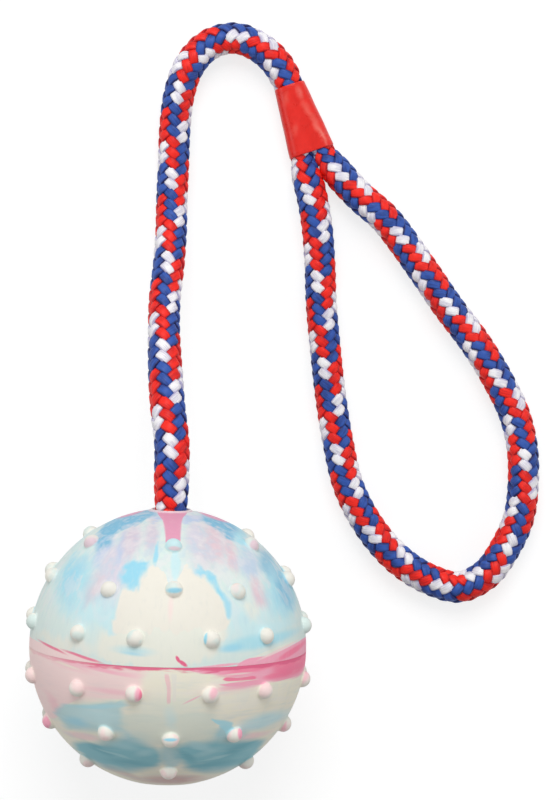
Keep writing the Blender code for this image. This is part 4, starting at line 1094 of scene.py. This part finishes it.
def sleeve_material(settings):
    """Polyolefin tube, shrunk with hot air on to the rope.

    It is glossy, and a little uneven where the heat took it. Lighter streaks along the rope are painted highlights,
    with one darker streak of painted shade, and its surface follows the strands beneath in low, soft bumps.
    """
    material, add = new_material("heat-shrunk red polyolefin film")
    turn = (0.0, 0.0, math.radians(SLEEVE_TURN))
    wanted = {"Location": (MOUTH[0], MOUTH[1], 0.0), "Rotation": turn, "Scale": (MM, MM, MM)}
    own = add(MAPPING, {"Vector": add("ShaderNodeTexCoord").outputs["Object"], **wanted}, "TEXTURE")
    # Patches of 2 mm in the dye, and ripples of 3 mm where the film lies on the strands
    mottle = add(NOISE, {"Vector": own, "Scale": 0.5, "Detail": 3.0, "Distortion": 0.6})
    swirl = add(VECTOR, [mottle.outputs["Color"], (0.5, 0.5, 0.5)], "SUBTRACT")
    swirl = add(VECTOR, {0: swirl, "Scale": 1.5}, "SCALE")
    part = add(SPLIT, [add(VECTOR, [own, swirl], "ADD")])
    beneath = add(RANGE, [part.outputs[2], 3.0, 2.0, 0.0, 9.0])
    flat = add(JOIN, [*part.outputs[:2], beneath])
    color = laid_over(add, srgb("#E6261C"), settings.red, [mottle, 0.35, 0.65, 0.0, 1.0])
    # The painted highlights and the painted shade streak, laid over the film's colour
    for paint, strength, across, up, tilt, long, wide in PAINTED_LIGHT_AND_SHADE_STREAKS:
        color = smear(add, color, flat, srgb(paint), strength, 1.0, (across, up, 0.0), tilt, long, wide)
    ripple = add(NOISE, {"Vector": own, "Scale": 0.33, "Detail": 1.0})
    rough = add(RANGE, [mottle, 0.3, 0.7, 0.24, 0.40])
    finish_material(add, color, ripple, 0.5, 0.25 * MM, rough=rough, ior=1.5, specular=0.3)
    return material


def make_sleeve(settings):
    """The film's skin: up its outside from the mouth, over the top's edge, down its inside and round the mouth."""
    wall, edge = settings.wall, settings.wall / 2
    straight = SLEEVE_LENGTH - 2 * edge
    over = [(edge * (1 - math.cos(t)), edge * math.sin(t)) for t in map(math.radians, (30, 60, 90, 120, 150))]
    rings = [(share, 0.0, edge + straight * share) for share in np.linspace(0.0, 1.0, 27)]
    rings += [(1.0, depth, SLEEVE_LENGTH - edge + out) for depth, out in over]
    rings += [(share, wall, edge + straight * share) for share in np.linspace(1.0, 0.0, 9)]
    rings += [(0.0, depth, edge - out) for depth, out in over[::-1]]
    points, faces = [], []
    for share, depth, y in rings:
        for x, z in sleeve_section(share, depth):
            uneven = noise.noise(Vector((x, y, z)) * 260.0) * 0.07 * MM
            points.append((x + uneven, y, max(z + uneven * 0.5, 0.02 * MM)))
    starts = range(0, len(points), SLEEVE_SEGMENTS)
    for first, second in zip(starts, [*starts[1:], 0]):
        faces += band(range(first, first + SLEEVE_SEGMENTS), range(second, second + SLEEVE_SEGMENTS))
    mesh = bpy.data.meshes.new("sleeve_skin")
    mesh.from_pydata(points, [], faces)
    face_outwards(mesh)
    mesh.transform(sleeve_place())
    mesh.shade_smooth()
    mesh.materials.append(sleeve_material(settings))
    sleeve = new_piece("sleeve_skin", mesh)
    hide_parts("shrink_sleeve")
    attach(sleeve, "handle_rope")


# The stage

def make_camera():
    data = bpy.data.cameras.new("camera")
    data.lens = 159.6
    data.sensor_width = 36.0
    data.clip_start = 0.05
    data.clip_end = 20.0
    camera = new_piece("camera", data)
    camera.location = CAMERA_PLACE
    bpy.context.scene.camera = camera


def make_lamp(name, place, size, power):
    """A square lamp that points at the middle of the toy."""
    data = bpy.data.lights.new(name, "AREA")
    data.shape = "SQUARE"
    data.size = size
    data.energy = power
    lamp = new_piece(name, data)
    lamp.location = place
    lamp.rotation_euler = (Vector((0.02, 0.05, 0.02)) - Vector(place)).to_track_quat("-Z", "Y").to_euler()


def shown_directly(add):
    """1 for what the camera sees straight, in a mirror or through glass, and 0 for the light on the object."""
    path = add("ShaderNodeLightPath")
    seen = path.outputs["Is Camera Ray"]
    for ray in ("Is Glossy Ray", "Is Transmission Ray"):
        seen = add(MATH, [seen, path.outputs[ray]], "ADD")
    return add(MATH, [seen, 1.0], "MINIMUM")


def make_floor(settings):
    size = settings.floor_size / 2
    mesh = bpy.data.meshes.new("floor")
    mesh.from_pydata([(-size, -size, 0), (size, -size, 0), (size, size, 0), (-size, size, 0)], [], [(0, 1, 2, 3)])
    material, add = new_material("matt white paper")
    paper, shade = (add("ShaderNodeBsdfDiffuse", {"Color": srgb(code)}) for code in ("#B8B8B8", "#9A9A9A"))
    glow = add("ShaderNodeEmission", {"Color": (1, 1, 1, 1), "Strength": 0.76})
    seen = add("ShaderNodeAddShader", [shade, glow])
    shader = add("ShaderNodeMixShader", [shown_directly(add), paper, seen])
    add("ShaderNodeOutputMaterial", [shader])
    mesh.materials.append(material)
    floor = new_piece("floor", mesh)


def make_world(settings):
    world = bpy.data.worlds.new("studio")
    world.use_nodes = True
    world.node_tree.nodes.clear()
    add = partial(add_node, world.node_tree)
    around, white = (
        add("ShaderNodeBackground", {"Color": (1, 1, 1, 1), "Strength": strength})
        for strength in (settings.ambient, 1.0)
    )
    add("ShaderNodeOutputWorld", [add("ShaderNodeMixShader", [shown_directly(add), around, white])])
    bpy.context.scene.world = world


def make_stage(settings):
    make_camera()
    make_floor(settings)
    make_world(settings)
    make_lamp("key", (0.02, 0.85, 0.95), 0.7, settings.key_power)
    for name, side in (("left", -1), ("right", 1)):
        make_lamp(name, (0.9 * side, 0.1, 0.42), 0.5, settings.side_power)
    bpy.context.scene.view_settings.view_transform = "Standard"


# The add-on: its settings, operators and panel

def a_number(name, description, default, **kind):
    return bpy.props.FloatProperty(name=name, description=description, default=default, **kind)


def a_color(name, description, code):
    kind = {"size": 4, "subtype": "COLOR", "min": 0.0, "max": 1.0}
    return bpy.props.FloatVectorProperty(name=name, description=description, default=srgb(code), **kind)


class StageSettings(bpy.types.PropertyGroup):
    floor_size: a_number("Floor size", "How wide the white floor is", 6.0, unit="LENGTH")
    ambient: a_number("Ambient", "Light from all round", 0.36, min=0.0, subtype="FACTOR")
    side_power: a_number("Side lamps", "Power of each side lamp", 1.5, min=0.0, subtype="POWER")
    key_power: a_number("Key lamp", "Power of the large lamp", 9.0, min=0.0, subtype="POWER")


class RopeSettings(bpy.types.PropertyGroup):
    diameter: a_number("Diameter", "Across the rope", 6.8 * MM, unit="LENGTH")
    pitch: a_number("Pitch", "Rope in which a strand goes once round", 18.9 * MM, unit="LENGTH")
    strand_width: a_number("Strand width", "Across one flat strand", 2.1 * MM, unit="LENGTH")
    strand_thickness: a_number("Strand thickness", "Through one flat strand", 0.8 * MM, unit="LENGTH")
    weave_depth: a_number(
        "Weave depth", "How far a strand moves in and out from its middle height", 0.45 * MM, unit="LENGTH"
    )
    bulge: a_number("Bulge", "How much a strand swells where it lies on top", 0.36 * MM, unit="LENGTH")
    points_in_turn: bpy.props.IntProperty(
        name="Points in a turn", description="Points of a strand in each turn", default=48, min=16
    )
    # Each yarn's lit colour and its colour in shade, which the yarn's material mixes as painted shade
    red: a_color("Red", "The red yarn where it catches the light", "#FF2A1E")
    red_shade: a_color("Red in shade", "The red yarn at its edges and where it goes under", "#AA0C1C")
    blue: a_color("Blue", "The blue yarn where it catches the light", "#345AB0")
    blue_shade: a_color("Blue in shade", "The blue yarn at its edges and where it goes under", "#141450")
    white: a_color("White", "The white yarn where it catches the light", "#FFFDFF")
    white_shade: a_color("White in shade", "The white yarn where it goes under", "#B4AED0")


class BallSettings(bpy.types.PropertyGroup):
    cream: a_color("Cream", "The rubber's ground", RUBBER["cream"])
    sky: a_color("Sky blue", "The paler blue marbling", RUBBER["sky"])
    pink: a_color("Pink", "The pink marbling", RUBBER["pink"])
    nub: a_color("Nubs", "The skin of the nubs", RUBBER["nub"])


class SleeveSettings(bpy.types.PropertyGroup):
    wall: a_number("Wall", "How thick the shrunk film is", 0.5 * MM, unit="LENGTH")
    red: a_color("Red", "The film's colour", "#EE2A20")


class ROPETOY_OT_stage(bpy.types.Operator):
    """Set up the camera, the floor and the studio light"""

    bl_idname = "ropetoy.stage"
    bl_label = "Stage"

    def execute(self, context):
        make_stage(context.scene.ropetoy_stage)
        return {"FINISHED"}


class ROPETOY_OT_ropes(bpy.types.Operator):
    """Braid the rope: the free run, the hand loop, and the runs hidden in the ball and the sleeve"""

    bl_idname = "ropetoy.ropes"
    bl_label = "Ropes"

    def execute(self, context):
        settings = context.scene.ropetoy_rope
        make_hidden_ropes(settings, make_free_ropes(settings))
        return {"FINISHED"}


class ROPETOY_OT_ball(bpy.types.Operator):
    """Mould the two ball halves with their nubs"""

    bl_idname = "ropetoy.ball"
    bl_label = "Ball halves"

    def execute(self, context):
        make_ball(context.scene.ropetoy_ball)
        return {"FINISHED"}


class ROPETOY_OT_sleeve(bpy.types.Operator):
    """Shrink the sleeve on the two runs of rope"""

    bl_idname = "ropetoy.sleeve"
    bl_label = "Sleeve"

    def execute(self, context):
        make_sleeve(context.scene.ropetoy_sleeve)
        return {"FINISHED"}


class ROPETOY_PT_panel(bpy.types.Panel):
    """The steps and sizes of the ball on a rope"""

    bl_label = "Ball on a rope"
    bl_idname = "ROPETOY_PT_panel"
    bl_space_type = "VIEW_3D"
    bl_region_type = "UI"
    bl_category = "Rope toy"

    def draw(self, context):
        for operator, (settings, kind) in STEPS.items():
            box = self.layout.box()
            box.operator(operator.bl_idname)
            for name in kind.__annotations__:
                box.prop(getattr(context.scene, settings), name)


# Each operator, with the name and the class of its settings
STEPS = {
    ROPETOY_OT_stage: ("ropetoy_stage", StageSettings),
    ROPETOY_OT_ropes: ("ropetoy_rope", RopeSettings),
    ROPETOY_OT_ball: ("ropetoy_ball", BallSettings),
    ROPETOY_OT_sleeve: ("ropetoy_sleeve", SleeveSettings),
}
CLASSES = (*(kind for _, kind in STEPS.values()), *STEPS, ROPETOY_PT_panel)


def register():
    for cls in CLASSES:
        bpy.utils.register_class(cls)
    for name, kind in STEPS.values():
        setattr(bpy.types.Scene, name, bpy.props.PointerProperty(type=kind))


def unregister():
    for name, _ in STEPS.values():
        delattr(bpy.types.Scene, name)
    for cls in reversed(CLASSES):
        bpy.utils.unregister_class(cls)


def main():
    register()
    bpy.ops.ropetoy.stage()
    bpy.ops.ropetoy.ropes()
    bpy.ops.ropetoy.ball()
    bpy.ops.ropetoy.sleeve()


if __name__ == "__main__":
    main()
